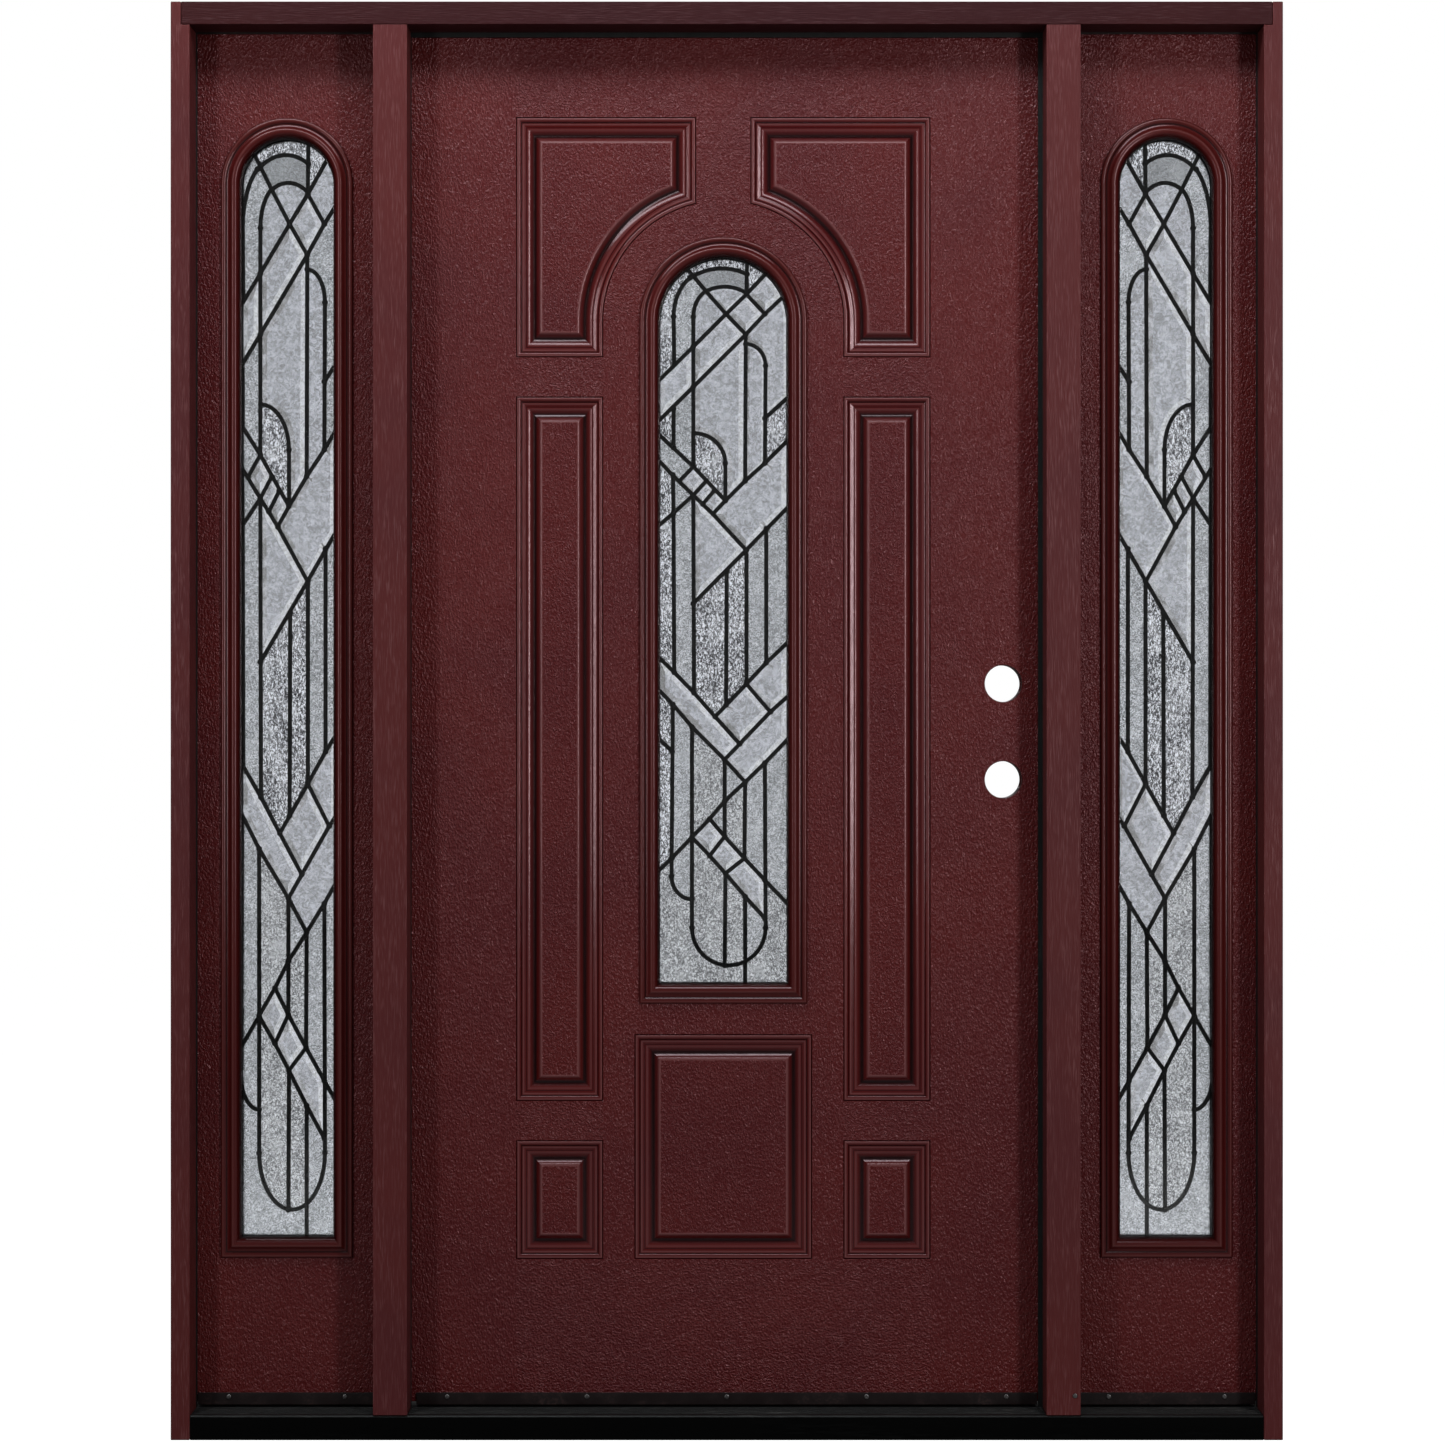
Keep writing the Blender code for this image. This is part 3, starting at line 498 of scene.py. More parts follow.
def as_object(name: str, data: bpy.types.ID, materials: Sequence[bpy.types.Material]) -> bpy.types.Object:
    """Puts a mesh or curve into the scene.

    Args:
        name: The object's name.
        data: The mesh or curve.
        materials: Its materials.

    Returns:
        The object.
    """
    for material in materials:
        data.materials.append(material)
    piece = bpy.data.objects.new(name, data)
    bpy.context.scene.collection.objects.link(piece)
    return piece


def turned_corners(outline: Outline) -> list[int]:
    """Where an outline turns sharply.

    Args:
        outline: Points of a closed outline.

    Returns:
        The numbers of the corners' points.
    """
    sharp = []
    for i, point in enumerate(outline):
        before = Vector(point) - Vector(outline[i - 1])
        after = Vector(outline[(i + 1) % len(outline)]) - Vector(point)
        if before.angle(after, 0) > CORNER_TURN:
            sharp.append(i)
    return sharp


def weighted(piece: bpy.types.Object) -> bpy.types.Object:
    """Keeps large flat faces flat under smooth shading.

    Args:
        piece: The piece.

    Returns:
        The same piece.
    """
    modifier = piece.modifiers.new("Weighted", "WEIGHTED_NORMAL")
    modifier.keep_sharp = True
    return piece


def plain(piece: bpy.types.Object, name: str) -> bpy.types.Object:
    """Turns an object with modifiers into a plain mesh and removes it.

    Args:
        piece: The object.
        name: The new piece's name.

    Returns:
        The new piece.
    """
    graph = bpy.context.evaluated_depsgraph_get()
    data = bpy.data.meshes.new_from_object(piece.evaluated_get(graph), depsgraph=graph)
    bpy.data.objects.remove(piece)
    data.name = name
    return as_object(name, data, ())


def eased_copy(node: str, name: str, width: float,
               material: bpy.types.Material) -> bpy.types.Object:
    """A copy of a plain node with its edges rounded.

    Args:
        node: The node of the frame that it stands for.
        name: The new piece's name.
        width: The width of the rounding.
        material: Its finish.

    Returns:
        The new piece.
    """
    mesh = bmesh.new()
    mesh.from_mesh(frame["nodes"][node].data)
    bmesh.ops.remove_doubles(mesh, verts=mesh.verts, dist=WELD)
    bmesh.ops.dissolve_limit(mesh, angle_limit=FLAT_WITHIN, verts=mesh.verts, edges=mesh.edges)
    sharp = [e for e in mesh.edges if len(e.link_faces) == 2 and e.calc_face_angle() > SMOOTH_BELOW]
    bmesh.ops.bevel(mesh, geom=sharp, offset=width, segments=EASE_STEPS, profile=0.5, affect="EDGES",
                    clamp_overlap=True)
    for face in mesh.faces:
        face.smooth = True
    data = bpy.data.meshes.new(name)
    mesh.to_mesh(data)
    mesh.free()
    return weighted(as_object(name, data, (material,)))


# Geometry node trees

FLOAT = "NodeSocketFloat"
INTEGER = "NodeSocketInt"
VECTOR = "NodeSocketVector"
COLOUR = "NodeSocketColor"
GEOMETRY = "NodeSocketGeometry"
OBJECT = "NodeSocketObject"
MATERIAL = "NodeSocketMaterial"


@dataclass
class NodeBench:
    """Lays nodes into one tree."""

    tree: bpy.types.NodeTree

    def add(self, kind: str, links: dict | None = None, **settings: object) -> bpy.types.Node:
        """Adds a node.

        Args:
            kind: The node's type.
            links: Input name or number to a value, or to the socket that feeds it.
            settings: The node's own properties.

        Returns:
            The node.
        """
        node = self.tree.nodes.new(kind)
        for key, value in settings.items():
            setattr(node, key, value)
        self.feed(node, links or {})
        return node

    def feed(self, node: bpy.types.Node, links: dict) -> None:
        """Fills a node's inputs.

        Args:
            node: The node.
            links: Input name or number to a value, or to the socket that feeds it.
        """
        for key, value in links.items():
            if isinstance(value, bpy.types.NodeSocket):
                self.tree.links.new(value, node.inputs[key])
            else:
                node.inputs[key].default_value = value

    def maths(self, operation: str, *values: object) -> bpy.types.NodeSocket:
        """Adds a Math node and returns its result."""
        return self.add("ShaderNodeMath", dict(enumerate(values)), operation=operation).outputs[0]

    def spread(self, value: object, low: float, high: float, start: float = 0.0,
               end: float = 1.0) -> bpy.types.NodeSocket:
        """Maps a value from low..high to start..end."""
        links = {"Value": value, "From Min": low, "From Max": high, "To Min": start, "To Max": end}
        return self.add("ShaderNodeMapRange", links).outputs[0]

    def blend(self, share: object, first: object, second: object) -> bpy.types.NodeSocket:
        """Mixes two colours and returns the result."""
        return self.add("ShaderNodeMix", {0: share, 6: first, 7: second}, data_type="RGBA").outputs[2]

    def drawn_out(self, vector: object, stretch: object) -> bpy.types.NodeSocket:
        """Draws a pattern's coordinates out and returns them."""
        return self.add("ShaderNodeVectorMath", {0: vector, 1: stretch}, operation="MULTIPLY").outputs[0]

    def noise(self, vector: object, scale: object, detail: float, roughness: float,
              distortion: object = 0.0) -> bpy.types.NodeSocket:
        """Adds a noise.

        Args:
            vector: Where it is read.
            scale: How fine it is.
            detail: How many finer layers it has.
            roughness: How strong those are.
            distortion: How far it is warped.

        Returns:
            Its value.
        """
        links = {"Vector": vector, "Scale": scale, "Detail": detail, "Roughness": roughness,
                 "Distortion": distortion}
        return self.add("ShaderNodeTexNoise", links).outputs[0]

    def bump(self, height: object, distance: float) -> bpy.types.NodeSocket:
        """Turns a height into relief and returns the normal."""
        links = {"Strength": 1.0, "Distance": distance, "Height": height}
        return self.add("ShaderNodeBump", links).outputs["Normal"]

    def pattern(self, group: bpy.types.NodeTree, **inputs: object) -> bpy.types.NodeOutputs:
        """Adds a shared group, laid on the object's own coordinates, and returns its results."""
        place = self.add("ShaderNodeTexCoord").outputs["Object"]
        return self.add("ShaderNodeGroup", {"Vector": place, **inputs}, node_tree=group).outputs

    def finished(self, geometry: object, material: object, output: str) -> None:
        """Ends a geometry tree: makes its copies real and gives them their finish.

        Args:
            geometry: What the tree has made.
            material: Its finish.
            output: The name of the tree's output.
        """
        whole = self.add("GeometryNodeRealizeInstances", {"Geometry": geometry})
        dressed = self.add("GeometryNodeSetMaterial", {"Geometry": whole.outputs[0], "Material": material})
        self.add("NodeGroupOutput", {output: dressed.outputs["Geometry"]})


def new_tree(name: str, kind: str, inputs: dict[str, str],
             outputs: dict[str, str]) -> bpy.types.NodeTree:
    """Starts a node tree with named sockets.

    Args:
        name: The tree's name.
        kind: GeometryNodeTree or ShaderNodeTree.
        inputs: Socket name to socket type.
        outputs: The same for its results.

    Returns:
        The tree.
    """
    tree = bpy.data.node_groups.new(name, kind)
    for side, sockets in (("INPUT", inputs), ("OUTPUT", outputs)):
        for label, socket in sockets.items():
            tree.interface.new_socket(label, in_out=side, socket_type=socket)
    return tree


def grown(name: str, data: bpy.types.ID, tree: bpy.types.NodeTree,
          values: dict[str, object]) -> bpy.types.Object:
    """Runs a geometry node tree on a mesh or curve and keeps the result as a plain mesh.

    Args:
        name: The new piece's name.
        data: What the tree starts from.
        tree: The tree.
        values: Socket name to value.

    Returns:
        The new piece.
    """
    holder = as_object(name + "_base", data, ())
    modifier = holder.modifiers.new(tree.name, "NODES")
    modifier.node_group = tree
    for item in tree.interface.items_tree:
        if item.in_out == "INPUT" and item.name in values:
            modifier[item.identifier] = values[item.name]
    return plain(holder, name)


def came_tree() -> bpy.types.NodeTree:
    """A tree that sweeps a rounded came along every line of a curve.

    Returns:
        The tree.
    """
    tree = new_tree("Came work", "GeometryNodeTree",
                    {"Lines": GEOMETRY, "Width": FLOAT, "Depth": FLOAT, "Rounding": FLOAT,
                     "Finish": MATERIAL},
                    {"Came": GEOMETRY})
    bench = NodeBench(tree)
    given = bench.add("NodeGroupInput").outputs
    section = bench.add("GeometryNodeCurvePrimitiveQuadrilateral",
                        {"Width": given["Width"], "Height": given["Depth"]})
    rounded = bench.add("GeometryNodeFilletCurve",
                        {"Curve": section.outputs["Curve"], "Radius": given["Rounding"],
                         "Count": EASE_STEPS},
                        mode="POLY")
    swept = bench.add("GeometryNodeCurveToMesh",
                      {"Curve": given["Lines"], "Profile Curve": rounded.outputs["Curve"],
                       "Fill Caps": True})
    bench.finished(swept.outputs["Mesh"], given["Finish"], "Came")
    return tree


def scatter_tree() -> bpy.types.NodeTree:
    """A tree that puts a copy of one piece, spun at random about its axis, on every point.

    Returns:
        The tree.
    """
    tree = new_tree("Scattered pieces", "GeometryNodeTree",
                    {"Points": GEOMETRY, "Piece": OBJECT, "Turn": VECTOR, "Spin": FLOAT,
                     "Seed": INTEGER, "Finish": MATERIAL},
                    {"Pieces": GEOMETRY})
    bench = NodeBench(tree)
    given = bench.add("NodeGroupInput").outputs
    piece = bench.add("GeometryNodeObjectInfo", {"Object": given["Piece"]})
    spin = bench.add("FunctionNodeRandomValue", {"Seed": given["Seed"]}, data_type="FLOAT")
    angle = bench.maths("MULTIPLY", spin.outputs[1], given["Spin"])
    about = bench.add("ShaderNodeCombineXYZ", {"Z": angle})
    lean = bench.add("FunctionNodeEulerToRotation", {0: given["Turn"]})
    spun = bench.add("FunctionNodeEulerToRotation", {0: about.outputs[0]})
    both = bench.add("FunctionNodeRotateRotation", {0: lean.outputs[0], 1: spun.outputs[0]},
                     rotation_space="LOCAL")
    copies = bench.add("GeometryNodeInstanceOnPoints",
                       {"Points": given["Points"], "Instance": piece.outputs["Geometry"],
                        "Rotation": both.outputs[0]})
    bench.finished(copies.outputs["Instances"], given["Finish"], "Pieces")
    return tree


def ribs_tree() -> bpy.types.NodeTree:
    """A tree that lays round grip ribs side by side, half sunk in the sill's deck.

    Returns:
        The tree.
    """
    tree = new_tree("Grip ribs", "GeometryNodeTree",
                    {"Start": GEOMETRY, "Length": FLOAT, "Pitch": FLOAT, "Count": INTEGER,
                     "Rib": FLOAT, "Finish": MATERIAL},
                    {"Ribs": GEOMETRY})
    bench = NodeBench(tree)
    given = bench.add("NodeGroupInput").outputs
    half = bench.maths("MULTIPLY", given["Length"], 0.5)
    left = bench.add("ShaderNodeCombineXYZ", {"X": bench.maths("MULTIPLY", half, -1.0)})
    right = bench.add("ShaderNodeCombineXYZ", {"X": half})
    line = bench.add("GeometryNodeCurvePrimitiveLine", {"Start": left.outputs[0], "End": right.outputs[0]})
    section = bench.add("GeometryNodeCurvePrimitiveCircle",
                        {"Resolution": RIB_SIDES, "Radius": given["Rib"]})
    rib = bench.add("GeometryNodeCurveToMesh",
                    {"Curve": line.outputs["Curve"], "Profile Curve": section.outputs["Curve"],
                     "Fill Caps": True})
    pitch = bench.add("ShaderNodeCombineXYZ", {"Y": given["Pitch"]})
    row = bench.add("GeometryNodeMeshLine", {"Count": given["Count"], "Offset": pitch.outputs[0]})
    copies = bench.add("GeometryNodeInstanceOnPoints",
                       {"Points": row.outputs["Mesh"], "Instance": rib.outputs["Mesh"]})
    bench.finished(copies.outputs["Instances"], given["Finish"], "Ribs")
    return tree


# Shader groups

def grain_group() -> bpy.types.NodeTree:
    """Embossed grain: pebbles drawn out along the grain, with pale flecks that are partly painted sparkle,
    and slow drift.

    Returns:
        The group.
    """
    tree = new_tree("Embossed grain", "ShaderNodeTree",
                    {"Vector": VECTOR, "Stretch": VECTOR, "Pebbles": FLOAT},
                    {"Height": FLOAT, "Fleck": FLOAT, "Drift": FLOAT})
    bench = NodeBench(tree)
    given = bench.add("NodeGroupInput").outputs
    drawn = bench.drawn_out(given["Vector"], given["Stretch"])
    pebble = bench.noise(drawn, given["Pebbles"], detail=1.5, roughness=0.6, distortion=0.4)
    coarser = bench.maths("MULTIPLY", given["Pebbles"], STREAKS_TO_PEBBLES)
    streak = bench.noise(drawn, coarser, detail=1.0, roughness=0.55)
    drift = bench.noise(given["Vector"], scale=3.4, detail=2.0, roughness=0.6)
    patches = bench.spread(streak, low=0.36, high=0.62, start=0.35, end=1.0)
    fleck_highlight = bench.maths("MULTIPLY", bench.spread(pebble, low=0.5, high=0.70), patches)
    bench.add("NodeGroupOutput", {"Height": pebble, "Fleck": fleck_highlight, "Drift": drift})
    return tree


def painted_light_group() -> bpy.types.NodeTree:
    """Paints shade into a colour in quirks and a highlight onto it on ridges, by the mesh's painted light.

    Returns:
        The group.
    """
    tree = new_tree("Moulded tone", "ShaderNodeTree",
                    {"Colour": COLOUR, "Tone": FLOAT, "Dark": COLOUR, "Light": COLOUR},
                    {"Colour": COLOUR})
    bench = NodeBench(tree)
    given = bench.add("NodeGroupInput").outputs
    shaded = bench.blend(bench.spread(given["Tone"], 0.0, -1.0), given["Colour"], given["Dark"])
    lit = bench.blend(bench.spread(given["Tone"], 0.0, 1.0), shaded, given["Light"])
    bench.add("NodeGroupOutput", {"Colour": lit})
    return tree


def mottle_group() -> bpy.types.NodeTree:
    """Fine cloudy variation for plain finishes, with small scuffs.

    Returns:
        The group.
    """
    tree = new_tree("Mottle", "ShaderNodeTree",
                    {"Vector": VECTOR, "Stretch": VECTOR, "Scale": FLOAT},
                    {"Cloud": FLOAT, "Scuff": FLOAT})
    bench = NodeBench(tree)
    given = bench.add("NodeGroupInput").outputs
    drawn = bench.drawn_out(given["Vector"], given["Stretch"])
    cloud = bench.noise(drawn, given["Scale"], detail=3.0, roughness=0.6)
    finer = bench.maths("MULTIPLY", given["Scale"], SCUFFS_TO_CLOUDS)
    fine = bench.noise(drawn, finer, detail=2.0, roughness=0.5)
    scuff = bench.maths("MULTIPLY", bench.spread(cloud, low=0.5, high=0.7),
                        bench.spread(fine, low=0.45, high=0.65))
    bench.add("NodeGroupOutput", {"Cloud": cloud, "Scuff": scuff})
    return tree


def cast_glass_group() -> bpy.types.NodeTree:
    """The relief of textured glass: drawn-out drops, their veins and a slow haze.

    Returns:
        The group.
    """
    tree = new_tree("Cast glass", "ShaderNodeTree",
                    {"Vector": VECTOR, "Stretch": VECTOR, "Drops": FLOAT, "Warp": FLOAT},
                    {"Height": FLOAT, "Drop": FLOAT, "Vein": FLOAT, "Haze": FLOAT})
    bench = NodeBench(tree)
    given = bench.add("NodeGroupInput").outputs
    drawn = bench.drawn_out(given["Vector"], given["Stretch"])
    drop = bench.noise(drawn, given["Drops"], detail=1.5, roughness=0.55, distortion=given["Warp"])
    haze = bench.noise(given["Vector"], scale=22.0, detail=2.0, roughness=0.65)
    ridge = bench.maths("ABSOLUTE", bench.maths("SUBTRACT", drop, NOISE_MIDDLE))
    bench.add("NodeGroupOutput", {"Height": drop, "Drop": bench.spread(drop, low=0.40, high=0.60),
                                  "Vein": bench.spread(ridge, low=0.02, high=0.085), "Haze": haze})
    return tree


def seen_tree() -> bpy.types.NodeTree:
    """Whether a ray comes straight from the camera, or through glass only: 1, else 0.

    Returns:
        The group.
    """
    tree = new_tree("Looked at", "ShaderNodeTree",
                    {"Camera": FLOAT, "Transmission": FLOAT, "Diffuse": FLOAT, "Glossy": FLOAT},
                    {"Seen": FLOAT})
    bench = NodeBench(tree)
    given = bench.add("NodeGroupInput").outputs
    bounced = bench.maths("ADD", given["Diffuse"], given["Glossy"])
    straight = bench.maths("LESS_THAN", bounced, 0.5)
    through = bench.maths("MULTIPLY", given["Transmission"], straight)
    bench.add("NodeGroupOutput", {"Seen": bench.maths("MAXIMUM", given["Camera"], through)})
    return tree


# Finishes

def new_material(name: str,
                 values: dict[str, object]) -> tuple[bpy.types.Material, NodeBench, bpy.types.Node]:
    """Starts a material.

    Args:
        name: Its name.
        values: Plain values of the shader's sockets.

    Returns:
        The material, a bench for its nodes and its shader.
    """
    material = bpy.data.materials.new(name)
    material.use_nodes = True
    bench = NodeBench(material.node_tree)
    shader = material.node_tree.nodes["Principled BSDF"]
    bench.feed(shader, values)
    return material, bench, shader


def opaque(colour: Colour) -> tuple[float, float, float, float]:
    """A colour with full alpha."""
    return (*colour, 1.0)


@dataclass(frozen=True)
class GrainedFinish:
    """A stained skin with embossed grain, painted shade in its quirks and painted highlights on its ridges.
    """

    name: str
    base: Colour
    fleck_highlight: Colour
    warm: Colour
    stretch: Stretch = (1.0, 1.0, 0.3)
    pebbles: float = 330.0
    fleck_highlight_share: float = 1.0
    relief: float = 0.0005
    smooth: float = 0.34
    rough: float = 0.52
    gloss: float = 0.3
    tint: Colour = (1.0, 0.72, 0.76)
    painted_shade_factor: float = 0.12

    def material(self, groups: Groups) -> bpy.types.Material:
        """Builds the material.

        Args:
            groups: The shared shader groups.

        Returns:
            The material.
        """
        made, bench, shader = new_material(self.name, {"Specular IOR Level": self.gloss,
                                                       "Specular Tint": opaque(self.tint)})
        grain = bench.pattern(groups["grain"], Stretch=self.stretch, Pebbles=self.pebbles)
        drift = bench.spread(grain["Drift"], low=0.38, high=0.62)
        drifted = bench.blend(drift, opaque(self.base), opaque(self.warm))
        # The pale flecks are grain colour and partly painted sparkle.
        share = bench.maths("MULTIPLY", grain["Fleck"], self.fleck_highlight_share)
        # Painted shade darkens the colour in quirks and painted highlight lightens it on ridges.
        with_painted_light = bench.add("ShaderNodeGroup", {
            "Colour": bench.blend(share, drifted, opaque(self.fleck_highlight)),
            "Tone": bench.add("ShaderNodeAttribute", attribute_name="tone").outputs["Fac"],
            "Dark": opaque(tuple(self.painted_shade_factor * c for c in self.base)),
            "Light": opaque(self.fleck_highlight),
        }, node_tree=groups["tone"])
        bench.feed(shader, {
            "Base Color": with_painted_light.outputs["Colour"],
            "Roughness": bench.spread(grain["Fleck"], 0.0, 1.0, self.rough, self.smooth),
            "Normal": bench.bump(grain["Height"], self.relief),
        })
        return made


@dataclass(frozen=True)
class PlainFinish:
    """A cast, rolled or extruded finish with faint clouds and scuffs."""

    name: str
    base: Colour
    worn: Colour
    roughness: float
    metallic: float = 0.0
    stretch: Stretch = (1.0, 1.0, 1.0)
    scale: float = 30.0
    relief: float = 0.00008
    gloss: float = 0.25
    swing: float = 0.2

    def material(self, groups: Groups) -> bpy.types.Material:
        """Builds the material.

        Args:
            groups: The shared shader groups.

        Returns:
            The material.
        """
        made, bench, shader = new_material(self.name, {"Metallic": self.metallic,
                                                       "Specular IOR Level": self.gloss})
        mottle = bench.pattern(groups["mottle"], Stretch=self.stretch, Scale=self.scale)
        smooth, rough = self.roughness * (1 - self.swing), self.roughness * (1 + self.swing)
        bench.feed(shader, {
            "Base Color": bench.blend(mottle["Scuff"], opaque(self.base), opaque(self.worn)),
            "Roughness": bench.spread(mottle["Cloud"], NOISE_LOW, NOISE_HIGH, smooth, rough),
            "Normal": bench.bump(mottle["Cloud"], self.relief),
        })
        return made


@dataclass(frozen=True)
class GlassFinish:
    """Textured glass of one kind, marked by its drops or by the veins between them."""

    name: str
    dark: Colour
    light: Colour
    drops: float
    stretch: Stretch = (1.0, 1.0, 1.0)
    warp: float = 0.5
    relief: float = 0.0006
    smooth: float = 0.08
    rough: float = 0.3
    veined: bool = False
    haze: float = 0.12

    def material(self, groups: Groups) -> bpy.types.Material:
        """Builds the material.

        Args:
            groups: The shared shader groups.

        Returns:
            The material.
        """
        made, bench, shader = new_material(self.name, {"Transmission Weight": 1.0, "IOR": GLASS_IOR})
        cast = bench.pattern(groups["cast"], Stretch=self.stretch, Drops=self.drops, Warp=self.warp)
        hazed = bench.spread(cast["Haze"], NOISE_LOW, NOISE_HIGH, -self.haze, self.haze)
        marks = cast["Vein" if self.veined else "Drop"]
        share = bench.add("ShaderNodeMath", {0: marks, 1: hazed}, operation="ADD", use_clamp=True)
        bench.feed(shader, {
            "Base Color": bench.blend(share.outputs[0], opaque(self.dark), opaque(self.light)),
            "Roughness": bench.spread(cast["Haze"], NOISE_LOW, NOISE_HIGH, self.smooth, self.rough),
            "Normal": bench.bump(cast["Height"], self.relief),
        })
        return made


@dataclass(frozen=True)
class ClearFinish:
    """Clear float glass, a little greener in slow clouds."""

    name: str
    base: Colour
    clearest: Colour
    clouds: float = 3.0

    def material(self, groups: Groups) -> bpy.types.Material:
        """Builds the material.

        Args:
            groups: The shared shader groups.

        Returns:
            The material.
        """
        made, bench, shader = new_material(self.name, {"Transmission Weight": 1.0, "IOR": GLASS_IOR,
                                                       "Roughness": 0.0})
        mottle = bench.pattern(groups["mottle"], Stretch=(1.0, 1.0, 1.0), Scale=self.clouds)
        bench.feed(shader, {"Base Color": bench.blend(mottle["Cloud"], opaque(self.base),
                                                      opaque(self.clearest))})
        return made


SKIN_BASE = (0.062, 0.0042, 0.0048)
SKIN_WARM = (0.076, 0.0054, 0.0047)
# Pale grain flecks that are partly painted sparkle; the same colour is the painted highlight on moulded
# ridges.
SKIN_FLECK_HIGHLIGHT = (0.150, 0.046, 0.045)
SKIN_TINT = (1.0, 0.58, 0.62)

FINISHES = {
    "stile": GrainedFinish("Stile skin", SKIN_BASE, SKIN_FLECK_HIGHLIGHT, SKIN_WARM, stretch=(1.0, 1.0, 0.6),
                           pebbles=350.0, fleck_highlight_share=0.4, relief=0.0024, smooth=0.16, rough=0.28,
                           gloss=0.42, tint=SKIN_TINT),
    "rail": GrainedFinish("Rail skin", SKIN_BASE, SKIN_FLECK_HIGHLIGHT, SKIN_WARM, stretch=(0.9, 1.0, 1.0),
                          pebbles=320.0, fleck_highlight_share=0.5, relief=0.0032, smooth=0.16, rough=0.28,
                          gloss=0.43, tint=SKIN_TINT),
    "moulding": GrainedFinish("Moulding skin", SKIN_BASE, (0.19, 0.075, 0.075), SKIN_WARM,
                              stretch=(1.0, 1.0, 0.28), pebbles=300.0, fleck_highlight_share=0.05, relief=0.0001,
                              smooth=0.13, rough=0.18, gloss=0.42),
    "field": GrainedFinish("Panel skin", SKIN_BASE, SKIN_FLECK_HIGHLIGHT, SKIN_WARM, stretch=(1.0, 1.0, 0.7),
                           pebbles=350.0, fleck_highlight_share=0.35, relief=0.0026, smooth=0.16, rough=0.28,
                           gloss=0.39, tint=SKIN_TINT),
    "edge": GrainedFinish("Slab edge", (0.03, 0.005, 0.005), (0.08, 0.03, 0.03), (0.04, 0.006, 0.006),
                          stretch=(1.0, 1.0, 0.06), pebbles=260.0, fleck_highlight_share=0.4, relief=0.0002,
                          smooth=0.45, rough=0.6),
    "upright": GrainedFinish("Upright skin", (0.068, 0.0090, 0.0098), (0.135, 0.045, 0.045),
                             (0.080, 0.0100, 0.0092), stretch=(1.0, 1.0, 0.07), pebbles=600.0,
                             fleck_highlight_share=0.8, relief=0.0006, smooth=0.34, rough=0.5),
    # A darker copy of the jambs' finish for the head, with its grain across: painted shade.
    "crossways": GrainedFinish("Head skin", (0.025, 0.0036, 0.0046), (0.054, 0.018, 0.020),
                               (0.030, 0.0040, 0.0044), stretch=(0.07, 1.0, 1.0), pebbles=600.0,
                               fleck_highlight_share=0.8, relief=0.0006, smooth=0.38, rough=0.55, gloss=0.16),
    "lite_frame": GrainedFinish("Lite frame", (0.050, 0.0044, 0.0042), (0.15, 0.050, 0.047),
                                (0.060, 0.0052, 0.0046), stretch=(1.0, 1.0, 0.5), pebbles=240.0,
                                fleck_highlight_share=0.04, relief=0.00004, smooth=0.14, rough=0.2, gloss=0.35),
    "strip": PlainFinish("Bottom strip", (0.0070, 0.0030, 0.0030), (0.03, 0.015, 0.014), 0.45),
    "seal": PlainFinish("Seal", (0.004, 0.004, 0.004), (0.012, 0.012, 0.012), 0.55,
                        stretch=(1, 1, 0.1), scale=60.0),
    "sill": PlainFinish("Sill", (0.010, 0.009, 0.009), (0.045, 0.042, 0.04), 0.42, metallic=0.5,
                        stretch=(0.1, 1, 1), scale=45.0),
    "hinge": PlainFinish("Hinge steel", (0.46, 0.41, 0.33), (0.6, 0.56, 0.48), 0.3, metallic=1.0,
                         stretch=(1, 1, 0.15), scale=160.0, relief=0.00004),
    "screw": PlainFinish("Screw", (0.16, 0.15, 0.15), (0.4, 0.38, 0.36), 0.35, metallic=1.0,
                         scale=200.0, relief=0.00003),
    "came": PlainFinish("Came", (0.0025, 0.0025, 0.003), (0.012, 0.012, 0.014), 0.3, scale=110.0,
                        relief=0.0001),
    # A darker copy of the sill's metal for its street face: painted shade.
    "sill_front": PlainFinish("Sill front", (0.0006, 0.0006, 0.0006), (0.003, 0.003, 0.003), 0.7,
                              stretch=(0.1, 1, 1), scale=45.0, gloss=0.04),
    "pane": ClearFinish("Clear pane", (0.955, 0.972, 0.968), (0.985, 0.99, 0.99)),
}
GLASS_FINISHES = {
    Glass.CHIPPED: GlassFinish("Chipped glass", (0.20, 0.21, 0.22), (0.73, 0.74, 0.80), 240.0,
                               warp=2.2, relief=0.0004),
    Glass.RAIN: GlassFinish("Rain glass", (0.008, 0.008, 0.010), (0.87, 0.88, 0.95), 280.0,
                            stretch=(1.0, 1.0, 0.5), warp=0.7, relief=0.0006, veined=True),
    Glass.HAMMERED: GlassFinish("Hammered glass", (0.10, 0.102, 0.11), (0.74, 0.75, 0.79), 260.0,
                                stretch=(1.0, 1.0, 0.8), warp=0.8, relief=0.0005, veined=True),
    Glass.SEEDY: GlassFinish("Seedy glass", (0.24, 0.245, 0.26), (0.42, 0.43, 0.46), 420.0,
                             relief=0.0002),
    Glass.BEVELLED: GlassFinish("Bevelled glass", (0.34, 0.345, 0.37), (0.62, 0.63, 0.70), 130.0,
                                warp=1.6, relief=0.0002),
    Glass.PAINTED_GLINT_BEVEL: GlassFinish("Bright bevel", (0.90, 0.90, 0.97), (0.99, 0.99, 1.0), 60.0,
                                    relief=0.00005, rough=0.1),
    Glass.PAINTED_SHEEN_BEVEL: GlassFinish("Soft bevel", (0.55, 0.56, 0.61), (0.78, 0.79, 0.85), 120.0,
                                  relief=0.00005, rough=0.1),
    Glass.PAINTED_SHADE_BEVEL: GlassFinish("Dim bevel", (0.20, 0.195, 0.19), (0.62, 0.62, 0.65), 45.0,
                                 relief=0.00005, rough=0.1),
}


